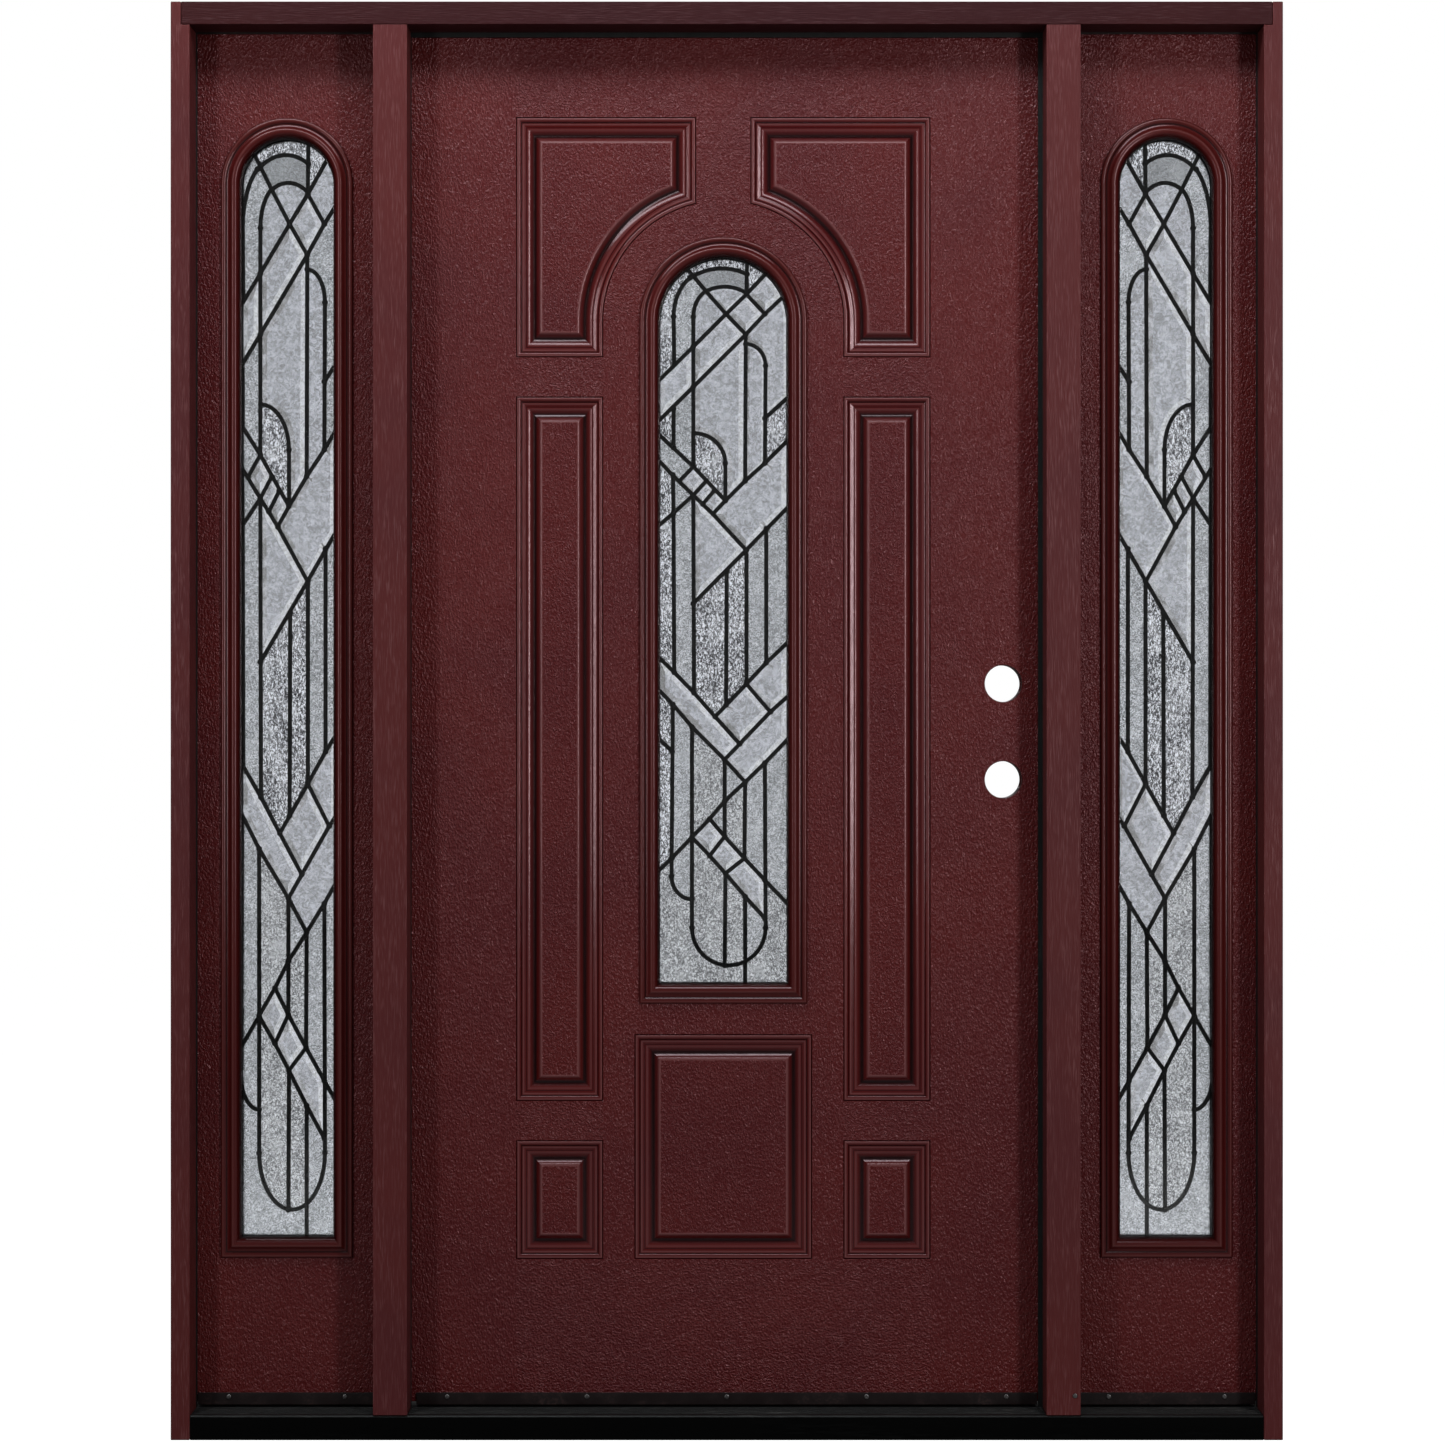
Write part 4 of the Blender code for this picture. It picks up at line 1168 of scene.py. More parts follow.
@dataclass
class Workshop:
    """The shared trees, groups and finishes that every piece is made with."""

    materials: dict[str, bpy.types.Material] = field(default_factory=dict)
    glass: list[bpy.types.Material] = field(default_factory=list)
    trees: dict[str, bpy.types.NodeTree] = field(default_factory=dict)

    def open(self) -> "Workshop":
        """Builds everything once.

        Returns:
            The workshop.
        """
        groups = {"grain": grain_group(), "tone": painted_light_group(), "mottle": mottle_group(),
                  "cast": cast_glass_group()}
        self.materials = {key: finish.material(groups) for key, finish in FINISHES.items()}
        self.glass = [GLASS_FINISHES[kind].material(groups) for kind in Glass]
        self.trees = {"came": came_tree(), "scatter": scatter_tree(), "ribs": ribs_tree()}
        return self

    def scatter(self, name: str, piece: bpy.types.Object, spots: Sequence[tuple], turn: tuple,
                material: bpy.types.Material, spin: float = math.tau) -> bpy.types.Object:
        """Puts copies of a piece at some spots and joins them.

        Args:
            name: The new piece's name.
            piece: What is copied, standing on the origin along +Z.
            spots: Where the copies go.
            turn: How they are turned from +Z.
            material: Their finish.
            spin: The most that a copy is spun about its own axis.

        Returns:
            One piece with all copies.
        """
        points = bpy.data.meshes.new(name + "_points")
        points.from_pydata(spots, [], [])
        return grown(name, points, self.trees["scatter"],
                     {"Piece": piece, "Turn": turn, "Spin": spin, "Seed": SPIN_SEED, "Finish": material})


def settle(piece: bpy.types.Object, body: str, slot: str, *nodes: str) -> bpy.types.Object:
    """Hands a finished piece over.

    Args:
        piece: The piece.
        body: The body that it rides on.
        slot: Not used.
        nodes: The nodes that it stands for.

    Returns:
        The same piece.
    """
    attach(piece, body)
    if nodes:
        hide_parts(*nodes)
    log.info("%s: %d faces on %s", piece.name, len(piece.data.polygons), body)
    return piece


# Slab

@dataclass
class PanelLayout:
    """Where the moulded panels lie on the door's faces."""

    shift: float = -0.005
    stile: float = 0.1682
    top_rail: float = 0.132
    bottom_rail: float = 0.208
    gap: float = 0.057
    side_width: float = 0.1276
    arch_height: float = 0.3515
    low_height: float = 0.174
    centre_width: float = 0.26
    centre_height: float = 0.329
    arch_gap: float = 0.079
    arc_steps: int = 30

    def measure(self, low: Vector, high: Vector, spring: float) -> "PanelLayout":
        """Works out the panels' lines.

        Args:
            low: The slab's least corner.
            high: Its greatest corner.
            spring: The height where the lite's arch springs.

        Returns:
            The layout.
        """
        self.outer = high.x - self.stile
        self.inner = self.outer - self.side_width
        self.spring = spring
        self.top = high.z - self.top_rail
        self.arch_bottom = self.top - self.arch_height
        self.bottom = low.z + self.bottom_rail
        self.low_top = self.bottom + self.low_height
        self.centre_top = self.bottom + self.centre_height
        return self

    def square(self, left: float, right: float, low: float, high: float) -> Panel:
        """A square panel's outline, as a function of its inset."""
        left, right = left + self.shift, right + self.shift
        return lambda by: rectangle(left + by, right - by, low + by, high - by)

    def arched(self, side: int) -> Panel:
        """A top corner panel, cut away round the lite's arch.

        Args:
            side: -1 for the left one and 1 for the right one.

        Returns:
            Its outline, as a function of its inset.
        """
        def outline(by: float) -> Outline:
            """The panel's outline.

            Args:
                by: How far it is moved in.

            Returns:
                The outline.
            """
            near = self.arch_gap / 2 + by
            radius = self.inner + by
            last = math.acos(near / radius)
            points = [(self.outer - by, self.top - by), (self.outer - by, self.arch_bottom + by),
                      (radius, self.arch_bottom + by)]
            for step in range(self.arc_steps + 1):
                angle = last * step / self.arc_steps
                points.append((radius * math.cos(angle), self.spring + radius * math.sin(angle)))
            points.append((near, self.top - by))
            placed = [(self.shift + side * x, z) for x, z in points]
            return placed if side < 0 else placed[::-1]
        return outline

    def panels(self) -> list[Panel]:
        """Lists every panel.

        Returns:
            Each panel's outline, as a function of its inset.
        """
        half = self.centre_width / 2
        made = [self.square(-half, half, self.bottom, self.centre_top)]
        for left, right in ((-self.outer, -self.inner), (self.inner, self.outer)):
            made.append(self.square(left, right, self.bottom, self.low_top))
            made.append(self.square(left, right, self.low_top + self.gap, self.arch_bottom - self.gap))
        return made + [self.arched(-1), self.arched(1)]

    def seams(self, low: float, high: float, cutout_half: float) -> list[tuple[Point, Point]]:
        """The lines where stiles and rails meet, between points of the face's outlines.

        Args:
            low: The height of the face's lower edge.
            high: The height of its upper edge.
            cutout_half: Half the width of the lite's opening.

        Returns:
            Both ends of each line.
        """
        lines = []
        half = self.centre_width / 2
        for side in (-1, 1):
            outer, inner = self.shift + side * self.outer, self.shift + side * self.inner
            levels = [low, self.bottom, self.low_top, self.low_top + self.gap, self.arch_bottom - self.gap,
                      self.arch_bottom, self.top, high]
            lines += [((outer, a), (outer, b)) for a, b in zip(levels, levels[1:])]
            lines += [((inner, a), (inner, b)) for a, b in zip(levels[1:], levels[2:6])]
            lines.append(((inner, self.arch_bottom), (inner, self.spring)))
            lines.append(((inner, self.spring), (self.shift + side * cutout_half, self.spring)))
            lines.append(((inner, self.bottom), (self.shift + side * half, self.bottom)))
        near = self.arch_gap / 2
        lines.append(((self.shift - near, self.top), (self.shift + near, self.top)))
        return lines

    def place_of(self, point: Vector) -> Skin:
        """Whether a point of the face lies on a stile or on a rail.

        Args:
            point: The point, as (x, z).

        Returns:
            The stile's or the rail's skin.
        """
        column = abs(point.x - self.shift)
        if column > self.outer:
            return Skin.STILE
        if point.y > self.top or point.y < self.bottom or column > self.inner:
            return Skin.RAIL
        return Skin.RAIL if point.y > self.spring else Skin.STILE


@dataclass
class Lite:
    """One arched lite, measured from its street frame's node."""

    name: str
    body: str
    mirrored: bool = False
    frame_band: float = 0.0295
    frame_height: float = 0.008
    glass_hold: float = 0.009
    cutout_clearance: float = 0.0025
    arch_steps: int = 56
    curve_steps: int = 3
    lead_width: float | None = None
    lead_shift: float = 0.0

    def __post_init__(self) -> None:
        """Reads the lite's place from the frame."""
        low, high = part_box(self.name + "_frame_street")
        self.x = (low.x + high.x) / 2
        self.half = (high.x - low.x) / 2 - self.frame_band
        self.bottom = low.z + self.frame_band
        self.top = high.z - self.frame_band
        self.spring = self.top - self.half
        slab_low, slab_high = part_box(self.name + "_slab")
        self.front = slab_low.y
        self.back = slab_high.y
        self.middle = (self.front + self.back) / 2

    def outline(self, growth: float) -> Outline:
        """The arched outline of the glass in sight.

        Args:
            growth: How far it is moved outward.

        Returns:
            The outline.
        """
        half = self.half + growth
        points = [(self.x - half, self.bottom - growth), (self.x + half, self.bottom - growth)]
        for step in range(self.arch_steps + 1):
            angle = math.pi * step / self.arch_steps
            points.append((self.x + half * math.cos(angle), self.spring + half * math.sin(angle)))
        return points

    def make_frames(self, shop: Workshop) -> None:
        """Builds the moulded frames on the slab's two faces, each with the leg that holds the glass.

        Args:
            shop: The trees and finishes.
        """
        leg = self.glass_hold + self.cutout_clearance - FIT
        for face, face_y, inward in (("street", self.front, 1), ("room", self.back, -1)):
            node = f"{self.name}_frame_{face}"
            pane_low, pane_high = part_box(f"{self.name}_pane_{face}")
            glass_y = (pane_low.y if inward > 0 else pane_high.y) - inward * FIT
            foot_y = face_y - inward * FIT
            section = []
            for share, height, tone, crisp in flow(LITE_FRAME_FACE, self.curve_steps):
                section.append((self.frame_band * (1 - share), face_y - inward * height * self.frame_height,
                                tone, crisp))
            # The leg hidden in the cut-out carries the darkest painted shade.
            section += [(0, glass_y, -1, True), (leg, glass_y, -1, True), (leg, foot_y, -1, True),
                        (self.frame_band, foot_y, -1, True)]
            shell = Shell()
            rings = [shell.ring(self.outline(growth), on_face(y), tone, crisp)
                     for growth, y, tone, crisp in section]
            for first, second in zip(rings, rings[1:] + rings[:1]):
                shell.band(first, second, 0, (0, 1))
            piece = shell.finish(f"{self.name}_{face}_moulding", [shop.materials["lite_frame"]])
            settle(weighted(piece), self.body, "lite_frame", node)

    def dress_panes(self, shop: Workshop) -> None:
        """Gives both clear panes their glass."""
        for face in ("street", "room"):
            dress(f"{self.name}_pane_{face}", shop.materials["pane"])


def dress(node: str, material: bpy.types.Material) -> None:
    """Gives a node that stays its finish.

    Args:
        node: The node.
        material: Its finish.
    """
    slots = frame["nodes"][node].data.materials
    slots.clear()
    slots.append(material)
    log.info("%s keeps its shape", node)


@dataclass
class DoorSlab:
    """The moulded door slab with its bores, mortises and opening for the lite."""

    lite: Lite
    layout: PanelLayout
    moulding_width: float = 0.038
    moulding_depth: float = 0.0085
    field_depth: float = 0.0015
    field_rim: float = 0.0012
    ease: float = 0.0008
    bore_radius: float = 0.027
    edge_bore_radius: float = 0.0127
    backset: float = 0.067
    handle_height: float = 0.909
    bore_spacing: float = 0.1405
    bore_steps: int = 64
    curve_steps: int = 2
    leaf_thickness: float = 0.0022
    leaf_width: float = 0.031

    def __post_init__(self) -> None:
        """Reads the slab's box."""
        self.low, self.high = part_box("door_slab")
        self.layout.measure(self.low, self.high, self.lite.spring)
        self.bore_x = self.high.x - self.backset
        first = self.low.z + self.handle_height
        self.bore_heights = (first, first + self.bore_spacing)

    def edge(self, by: float) -> Outline:
        """The slab's edge, with the points where the stile lines end.

        Args:
            by: How far it is moved in.

        Returns:
            The outline.
        """
        left, right = -self.layout.outer + self.layout.shift, self.layout.outer + self.layout.shift
        low, high = self.low.z + by, self.high.z - by
        return [(self.low.x + by, low), (left, low), (right, low), (self.high.x - by, low),
                (self.high.x - by, high), (right, high), (left, high), (self.low.x + by, high)]

    def face(self, shell: Shell, y: float, inward: int) -> list[list]:
        """Builds one moulded face.

        Args:
            shell: The slab in the making.
            y: The face's place.
            inward: Which way the slab lies from it, 1 or -1.

        Returns:
            The rings where the walls between the faces start.
        """
        level = on_face(y)
        eased = on_face(y + inward * self.ease)
        cutout = self.lite.outline(self.lite.glass_hold + self.lite.cutout_clearance)
        bores = [(self.bore_x, z) for z in self.bore_heights]
        outlines = [self.edge(self.ease), cutout]
        outlines += [circle(*bore, self.bore_radius + self.ease, self.bore_steps) for bore in bores]
        rims = [panel(0) for panel in self.layout.panels()]
        rings = [shell.ring(outline, level) for outline in outlines]
        rim_rings = [shell.ring(rim, level, crisp=True) for rim in rims]
        seams = self.layout.seams(self.low.z + self.ease, self.high.z - self.ease,
                                  cutout[1][0] - self.lite.x)
        shell.cap(outlines + rims, rings + rim_rings, lambda p: self.layout.place_of(p).value, seams)
        for panel, last in zip(self.layout.panels(), rim_rings):
            corners = turned_corners(panel(0))
            for share, depth, tone, crisp in flow(PANEL_MOULDING, self.curve_steps)[1:]:
                sunk = on_face(y + inward * depth * self.moulding_depth)
                following = shell.ring(panel(share * self.moulding_width), sunk, tone, crisp)
                shell.band(last, following, Skin.MOULDING.value, corners)
                last = following
            flat = panel(self.moulding_width + self.field_rim)
            following = shell.ring(flat, on_face(y + inward * self.field_depth))
            shell.band(last, following, Skin.FIELD.value)
            shell.cap([flat], [following], lambda p: Skin.FIELD.value)
        walls = [shell.ring(self.edge(0), eased), rings[1]]
        walls += [shell.ring(circle(*bore, self.bore_radius, self.bore_steps), eased) for bore in bores]
        shell.band(rings[0], walls[0], Skin.STILE.value)
        for outer, wall in zip(rings[2:], walls[2:]):
            shell.band(outer, wall, Skin.EDGE.value)
        return walls

    def cutters(self) -> bpy.types.Object:
        """The edge bores and hinge mortises, as one solid to cut away.

        Returns:
            The solid.
        """
        shell = Shell()
        for z in self.bore_heights:
            around = circle(self.lite.middle, z, self.edge_bore_radius, self.bore_steps)
            shell.prism(around, on_side(self.bore_x), on_side(self.high.x + self.backset))
        plan = rectangle(self.low.x - self.leaf_width, self.low.x + self.leaf_thickness + FIT,
                         self.high.y - self.leaf_width - FIT, self.high.y + self.leaf_width)
        for level in HINGE_LEVELS:
            low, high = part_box(f"hinge_{level}_frame_leaf")
            shell.prism(plan, on_plan(low.z - FIT), on_plan(high.z + FIT))
        return shell.finish("slab_cutters", ())

    def make(self, shop: Workshop) -> None:
        """Builds the slab, cuts it and puts it in place of its node.

        Args:
            shop: The trees and finishes.
        """
        shell = Shell()
        street = self.face(shell, self.low.y, 1)
        room = self.face(shell, self.high.y, -1)
        for first, second in zip(street, room):
            shell.band(first, second, Skin.EDGE.value)
        order = ("stile", "rail", "moulding", "field", "edge")
        slab = shell.finish("door_skin_base", [shop.materials[key] for key in order])
        cutters = self.cutters()
        cut = slab.modifiers.new("Cut", "BOOLEAN")
        cut.solver = "EXACT"
        cut.object = cutters
        skin = plain(slab, "door_skin")
        bpy.data.objects.remove(cutters)
        settle(weighted(skin), "door", "slab_skin", "door_slab")


# Leaded glass

@dataclass(frozen=True)
class ArcLead:
    """A curved lead: part of an ellipse, angles in degrees."""

    x: float
    z: float
    radius_x: float
    radius_z: float
    start: float
    end: float

    def points(self, step: float = 7.5) -> Outline:
        """Points along the arc.

        Args:
            step: The angle between them, in degrees.

        Returns:
            The points.
        """
        count = max(2, round(abs(self.end - self.start) / step))
        points = []
        for i in range(count + 1):
            angle = math.radians(self.start + (self.end - self.start) * i / count)
            points.append((self.x + self.radius_x * math.cos(angle),
                           self.z + self.radius_z * math.sin(angle)))
        return points


# The leads, drawn in millimetres on the door's glass, X from its middle and Z up from its
# foot. A straight lead lists every joint that it passes.
DRAWING_WIDTH = 186.4
DRAWING_HEIGHT = 1062.0
STRAIGHT_LEADS = (
    ((-73, 977), (-72, 907)), ((-73, 842), (-73, 785)),
    ((-74, 745), (-73, 689), (-72, 455)), ((-74, 408), (-76, 156)),
    ((-44, 977), (-44, 757)), ((-44, 715), (-43, 425)), ((-46, 375), (-46, 80)),
    ((35, 1070), (34, 1010)), ((33, 951), (32, 736)), ((34, 635), (34, 438)),
    ((32, 294), (31, 182)), ((32, 126), (32, -14)),
    ((62, 905), (61, 762)), ((63, 666), (63, 469)), ((61, 322), (62, 80)),
    ((3, 762), (3, 707)), ((5, 604), (4, 407)), ((2, 327), (2, 214)), ((3, 160), (2, 25)),
    ((-56, 1051), (-25, 1014), (4, 981), (33, 951)), ((34, 1010), (61, 981)),
    ((69, 1047), (34, 1010), (4, 981), (-44, 933), (-106, 872)),
    ((96, 1014), (61, 981), (33, 951), (-44, 874), (-106, 813)),
    ((106, 869), (61, 828)),
    ((106, 807), (61, 762), (32, 736), (3, 707), (-15, 688)),
    ((-106, 815), (-73, 784), (-44, 757), (3, 707)),
    ((-106, 778), (-75, 745), (-44, 715), (-15, 687), (33, 635)),
    ((-44, 757), (-64, 736)), ((-25, 736), (-44, 715), (-73, 689), (-106, 661)),
    ((-13, 722), (-30, 702)),
    ((106, 709), (64, 666), (34, 635), (-44, 556)),
    ((-106, 488), (-72, 455), (-43, 425), (-12, 390), (24, 350)),
    ((106, 510), (63, 469), (34, 438), (-12, 390)), ((34, 438), (69, 397)),
    ((106, 430), (69, 397), (24, 350), (2, 327)),
    ((-106, 441), (-74, 408), (-46, 375), (2, 327), (32, 294)),
    ((-106, 369), (-75, 339)),
    ((106, 369), (61, 322), (32, 294), (2, 266), (-20, 240), (-46, 213), (-75, 183), (-106, 153)),
    ((-20, 240), (2, 214), (31, 182), (61, 150), (106, 103)),
    ((-46, 213), (-20, 186), (3, 160), (32, 126), (61, 94)),
    ((2, 214), (-20, 186)), ((31, 182), (3, 160)),
)
ARC_LEADS = (
    ArcLead(-25, 977, 48, 66, 180, 120), ArcLead(-2, 964, 84, 84, 123, 64),
    ArcLead(-9, 977, 35, 43, 180, 123), ArcLead(2, 962, 59, 59, 121, 57),
    ArcLead(33, 905, 29, 32, 90, 0), ArcLead(-43, 762, 46, 44, 90, 0),
    ArcLead(-46, 156, 30, 34, 180, 270), ArcLead(8, 80, 54, 55, 180, 360),
)
# A drop of solder over a joint, as shares of its radius and of half the lead's depth.
SOLDER_PROFILE = ((0.55, -1.0), (0.9, -0.86), (1.0, -0.55), (1.0, 0.55), (0.9, 0.86), (0.55, 1.0))


@dataclass
class LeadedGlass:
    """The leads of one lite, their solder joints and the pieces of glass between them."""

    lite: Lite
    lead: float = 0.0062
    lead_depth: float = 0.0068
    rounding: float = 0.0021
    edge_in_sight: float = 0.0012
    tuck: float = 0.0015
    glass_half: float = 0.0014
    bevel_rise: float = 0.0013
    bevel_width: float = 0.0085
    bevel_shares: tuple[float, ...] = (1.0, 0.8, 0.6, 0.45)
    least_top: float = 0.12
    smallest: float = 60e-6
    straightness: float = 0.00025
    solder_share: float = 0.72
    solder_steps: int = 14
    # The ways a bevel's slope faces to take painted glint, and painted shade.
    painted_glint_side: Point = (0.95, -0.31)
    painted_shade_side: Point = (-0.8, -0.6)
    facing: float = 0.35

    def __post_init__(self) -> None:
        """Works out how the drawing is stretched and mirrored."""
        width = self.lite.lead_width or 2 * self.lite.half
        self.side = -1 if self.lite.mirrored else 1
        self.across = self.side * width / DRAWING_WIDTH
        self.up = (self.lite.top - self.lite.bottom) / DRAWING_HEIGHT
        self.centre = self.lite.x + self.side * self.lite.lead_shift

    def placed(self, x: float, z: float) -> Point:
        """A point of the drawing in the lite's own place."""
        return self.centre + x * self.across, self.lite.bottom + z * self.up

    def lines(self) -> list[Outline]:
        """Places the drawing's leads.

        Returns:
            Every lead's line, straight ones first.
        """
        drawn = [list(line) for line in STRAIGHT_LEADS] + [arc.points() for arc in ARC_LEADS]
        return [[self.placed(*point) for point in line] for line in drawn]

    def joints(self) -> list[Point]:
        """Finds the spots where leads are soldered.

        Returns:
            The spots, once each.
        """
        inner = self.lite.outline(-self.lead)
        spots: dict[tuple[int, int], Point] = {}
        ends = [point for line in STRAIGHT_LEADS for point in line]
        ends += [arc.points()[end] for arc in ARC_LEADS for end in (0, -1)]
        for point in ends:
            spot = self.placed(*point)
            key = (round(spot[0] / self.lead), round(spot[1] / self.lead))
            if is_inside(spot, inner):
                spots.setdefault(key, spot)
        return list(spots.values())

    def pieces(self) -> list[Outline]:
        """Finds the outline of every piece of glass, tucked a little under its leads.

        Returns:
            The outlines.
        """
        outer = self.lite.outline(self.lite.glass_hold - FIT)
        inner = self.lite.outline(self.tuck - self.edge_in_sight)
        count = len(outer)
        shapes = [outer]
        for i in range(count):
            j = (i + 1) % count
            shapes.append([outer[i], outer[j], inner[j], inner[i]])
        shapes += [band(line, self.lead - 2 * self.tuck, self.tuck) for line in self.lines()]
        faces, first = [], 0
        for shape in shapes:
            faces.append(list(range(first, first + len(shape))))
            first += len(shape)
        points = [Vector(point) for shape in shapes for point in shape]
        found = delaunay_2d_cdt(points, [], faces, 0, LEAD_TOLERANCE)
        sides = {}
        for triangle, source in zip(found[2], found[5]):
            if 0 in source and len(source) == 1:
                for a, b in zip(triangle, triangle[1:] + triangle[:1]):
                    sides[a, b] = True
        open_edges: dict[int, list[int]] = {}
        for a, b in sides:
            if (b, a) not in sides:
                open_edges.setdefault(a, []).append(b)
        outlines = []
        while open_edges:
            start, ahead = next(iter(open_edges.items()))
            loop = [start]
            point = ahead.pop()
            if not ahead:
                del open_edges[start]
            while point != start:
                loop.append(point)
                ahead = open_edges[point]
                following = ahead.pop()
                if not ahead:
                    del open_edges[point]
                point = following
            outline = simplified([tuple(found[0][i]) for i in loop], self.straightness)
            if signed_area(outline) > self.smallest:
                outlines.append(outline)
        return outlines

    def kind_of(self, outline: Outline) -> Glass:
        """Which glass a piece is cut from.

        Args:
            outline: The piece's outline.

        Returns:
            Its kind of glass.
        """
        for kind, spots in SPECIAL_GLASS.items():
            if any(is_inside(self.placed(*spot), outline) for spot in spots):
                return kind
        return Glass.CHIPPED

    def bevelled_top(self, outline: Outline) -> Outline | None:
        """The flat middle of a bevelled piece.

        Args:
            outline: The piece's outline.

        Returns:
            The middle's outline, or nothing where the piece is too narrow for one.
        """
        for share in self.bevel_shares:
            top = inset(outline, self.bevel_width * share)
            if is_simple(top) and signed_area(top) > self.least_top * signed_area(outline):
                return top
        return None

    def make_glass(self, shop: Workshop) -> bpy.types.Object:
        """Makes each piece of glass a plate, the bevelled ones raised within a sloping edge whose slopes
        carry painted glint, sheen and shade by the way each faces.

        Args:
            shop: The trees and finishes.

        Returns:
            All plates as one piece.
        """
        shell = Shell()
        front = self.lite.middle - self.glass_half
        back = self.lite.middle + self.glass_half
        for outline in self.pieces():
            kind = self.kind_of(outline)
            rim = shell.ring(outline, on_face(front), crisp=True)
            foot = shell.ring(outline, on_face(back), crisp=True)
            shell.band(rim, foot, kind.value)
            shell.cap([outline], [foot], lambda p: kind.value)
            top = self.bevelled_top(outline) if kind is Glass.BEVELLED else None
            if top:
                raised = shell.ring(top, on_face(front - self.bevel_rise), crisp=True)
                # Slopes take a painted sheen, a painted glint facing one way and painted shade facing the
                # other.
                slopes = shell.band(rim, raised, Glass.PAINTED_SHEEN_BEVEL.value, range(len(outline)))
                for slope, start, end in zip(slopes, outline, outline[1:] + outline[:1]):
                    outward = Vector((end[1] - start[1], start[0] - end[0])).normalized()
                    if outward.dot(Vector(self.painted_glint_side)) > self.facing:
                        slope.material_index = Glass.PAINTED_GLINT_BEVEL.value
                    elif outward.dot(Vector(self.painted_shade_side)) > self.facing:
                        slope.material_index = Glass.PAINTED_SHADE_BEVEL.value
                shell.cap([top], [raised], lambda p: kind.value)
            else:
                shell.cap([outline], [rim], lambda p: kind.value)
        return shell.finish(f"{self.lite.name}_glass", shop.glass)

    def make_cames(self, shop: Workshop) -> bpy.types.Object:
        """Sweeps one rounded section along every lead's line.

        Args:
            shop: The trees and finishes.

        Returns:
            All cames as one piece.
        """
        hold = self.lite.outline(self.lite.glass_hold - self.lead / 2)
        data = bpy.data.curves.new(self.lite.name + "_lines", "CURVE")
        data.dimensions = "3D"
        data.twist_mode = "Z_UP"
        edge = self.lite.outline(self.lead / 2 - self.edge_in_sight)
        runs = [(line, False) for drawn in self.lines() for line in clipped(drawn, hold)]
        runs.append((edge, True))
        for line, closed in runs:
            spline = data.splines.new("POLY")
            spline.points.add(len(line) - 1)
            for point, (x, z) in zip(spline.points, line):
                point.co = (x, z, 0, 1)
            spline.use_cyclic_u = closed
        values = {"Width": self.lead, "Depth": self.lead_depth, "Rounding": self.rounding,
                  "Finish": shop.materials["came"]}
        came = grown(f"{self.lite.name}_cames", data, shop.trees["came"], values)
        upright = Matrix.Rotation(math.pi / 2, 4, "X")
        came.data.transform(Matrix.Translation((0, self.lite.middle, 0)) @ upright)
        return came

    def make_joints(self, shop: Workshop) -> bpy.types.Object:
        """Sets a flat drop of solder over both faces of every joint.

        Args:
            shop: The trees and finishes.

        Returns:
            All drops as one piece.
        """
        shell = Shell()
        half = self.lead_depth / 2
        wide = self.lead * self.solder_share
        shell.turned([(wide * across, half * up) for across, up in SOLDER_PROFILE], self.solder_steps)
        drop = shell.finish("solder_drop", ())
        spots = [(x, self.lite.middle, z) for x, z in self.joints()]
        made = shop.scatter(f"{self.lite.name}_solder", drop, spots, TO_STREET, shop.materials["came"])
        bpy.data.objects.remove(drop)
        return made

    def make(self, shop: Workshop) -> None:
        """Builds leads, joints and glass and puts them in place of the lite's lead node.

        Args:
            shop: The trees and finishes.
        """
        node = self.lite.name + "_leads"
        cames = self.make_cames(shop)
        for polygon in cames.data.polygons:
            polygon.use_smooth = True
        settle(cames, self.lite.body, "dark_lead", node)
        settle(self.make_joints(shop), self.lite.body, "dark_lead")
        settle(self.make_glass(shop), self.lite.body, "clear_glass")


# Frame, strips and hinges

# A screw head's dome, as shares of its radius and height, and its cross recess.
SCREW_PROFILE = ((1.0, 0.0), (1.0, 0.35), (0.94, 0.7), (0.82, 0.92), (0.68, 1.0))
SCREW_STEPS = 24
RECESS_DEPTH = 0.6
RECESS_LENGTH = 0.55
RECESS_WIDTH = 0.14


def screw_head(name: str, radius: float, height: float) -> bpy.types.Object:
    """A low domed screw head with a cross recess, standing on the origin along +Z.

    Args:
        name: The object's name.
        radius: The head's radius.
        height: Its height.

    Returns:
        The head.
    """
    shell = Shell()
    long, thin = radius * RECESS_LENGTH, radius * RECESS_WIDTH
    cross = [(long, -thin), (long, thin), (thin, thin), (thin, long), (-thin, long), (-thin, thin),
             (-long, thin), (-long, -thin), (-thin, -thin), (-thin, -long), (thin, -long), (thin, -thin)]
    rings = [shell.ring(circle(0, 0, radius * across, SCREW_STEPS), on_plan(up * height))
             for across, up in SCREW_PROFILE]
    for first, second in zip(rings, rings[1:]):
        shell.band(first, second)
    shell.lid(rings[0])
    mouth = shell.ring(cross, on_plan(height))
    floor = shell.ring(cross, on_plan(height - height * RECESS_DEPTH))
    crown = circle(0, 0, radius * SCREW_PROFILE[-1][0], SCREW_STEPS)
    shell.cap([crown, cross], [rings[-1], mouth], lambda p: 0)
    shell.band(mouth, floor)
    shell.cap([cross], [floor], lambda p: 0)
    return shell.finish(name, ())


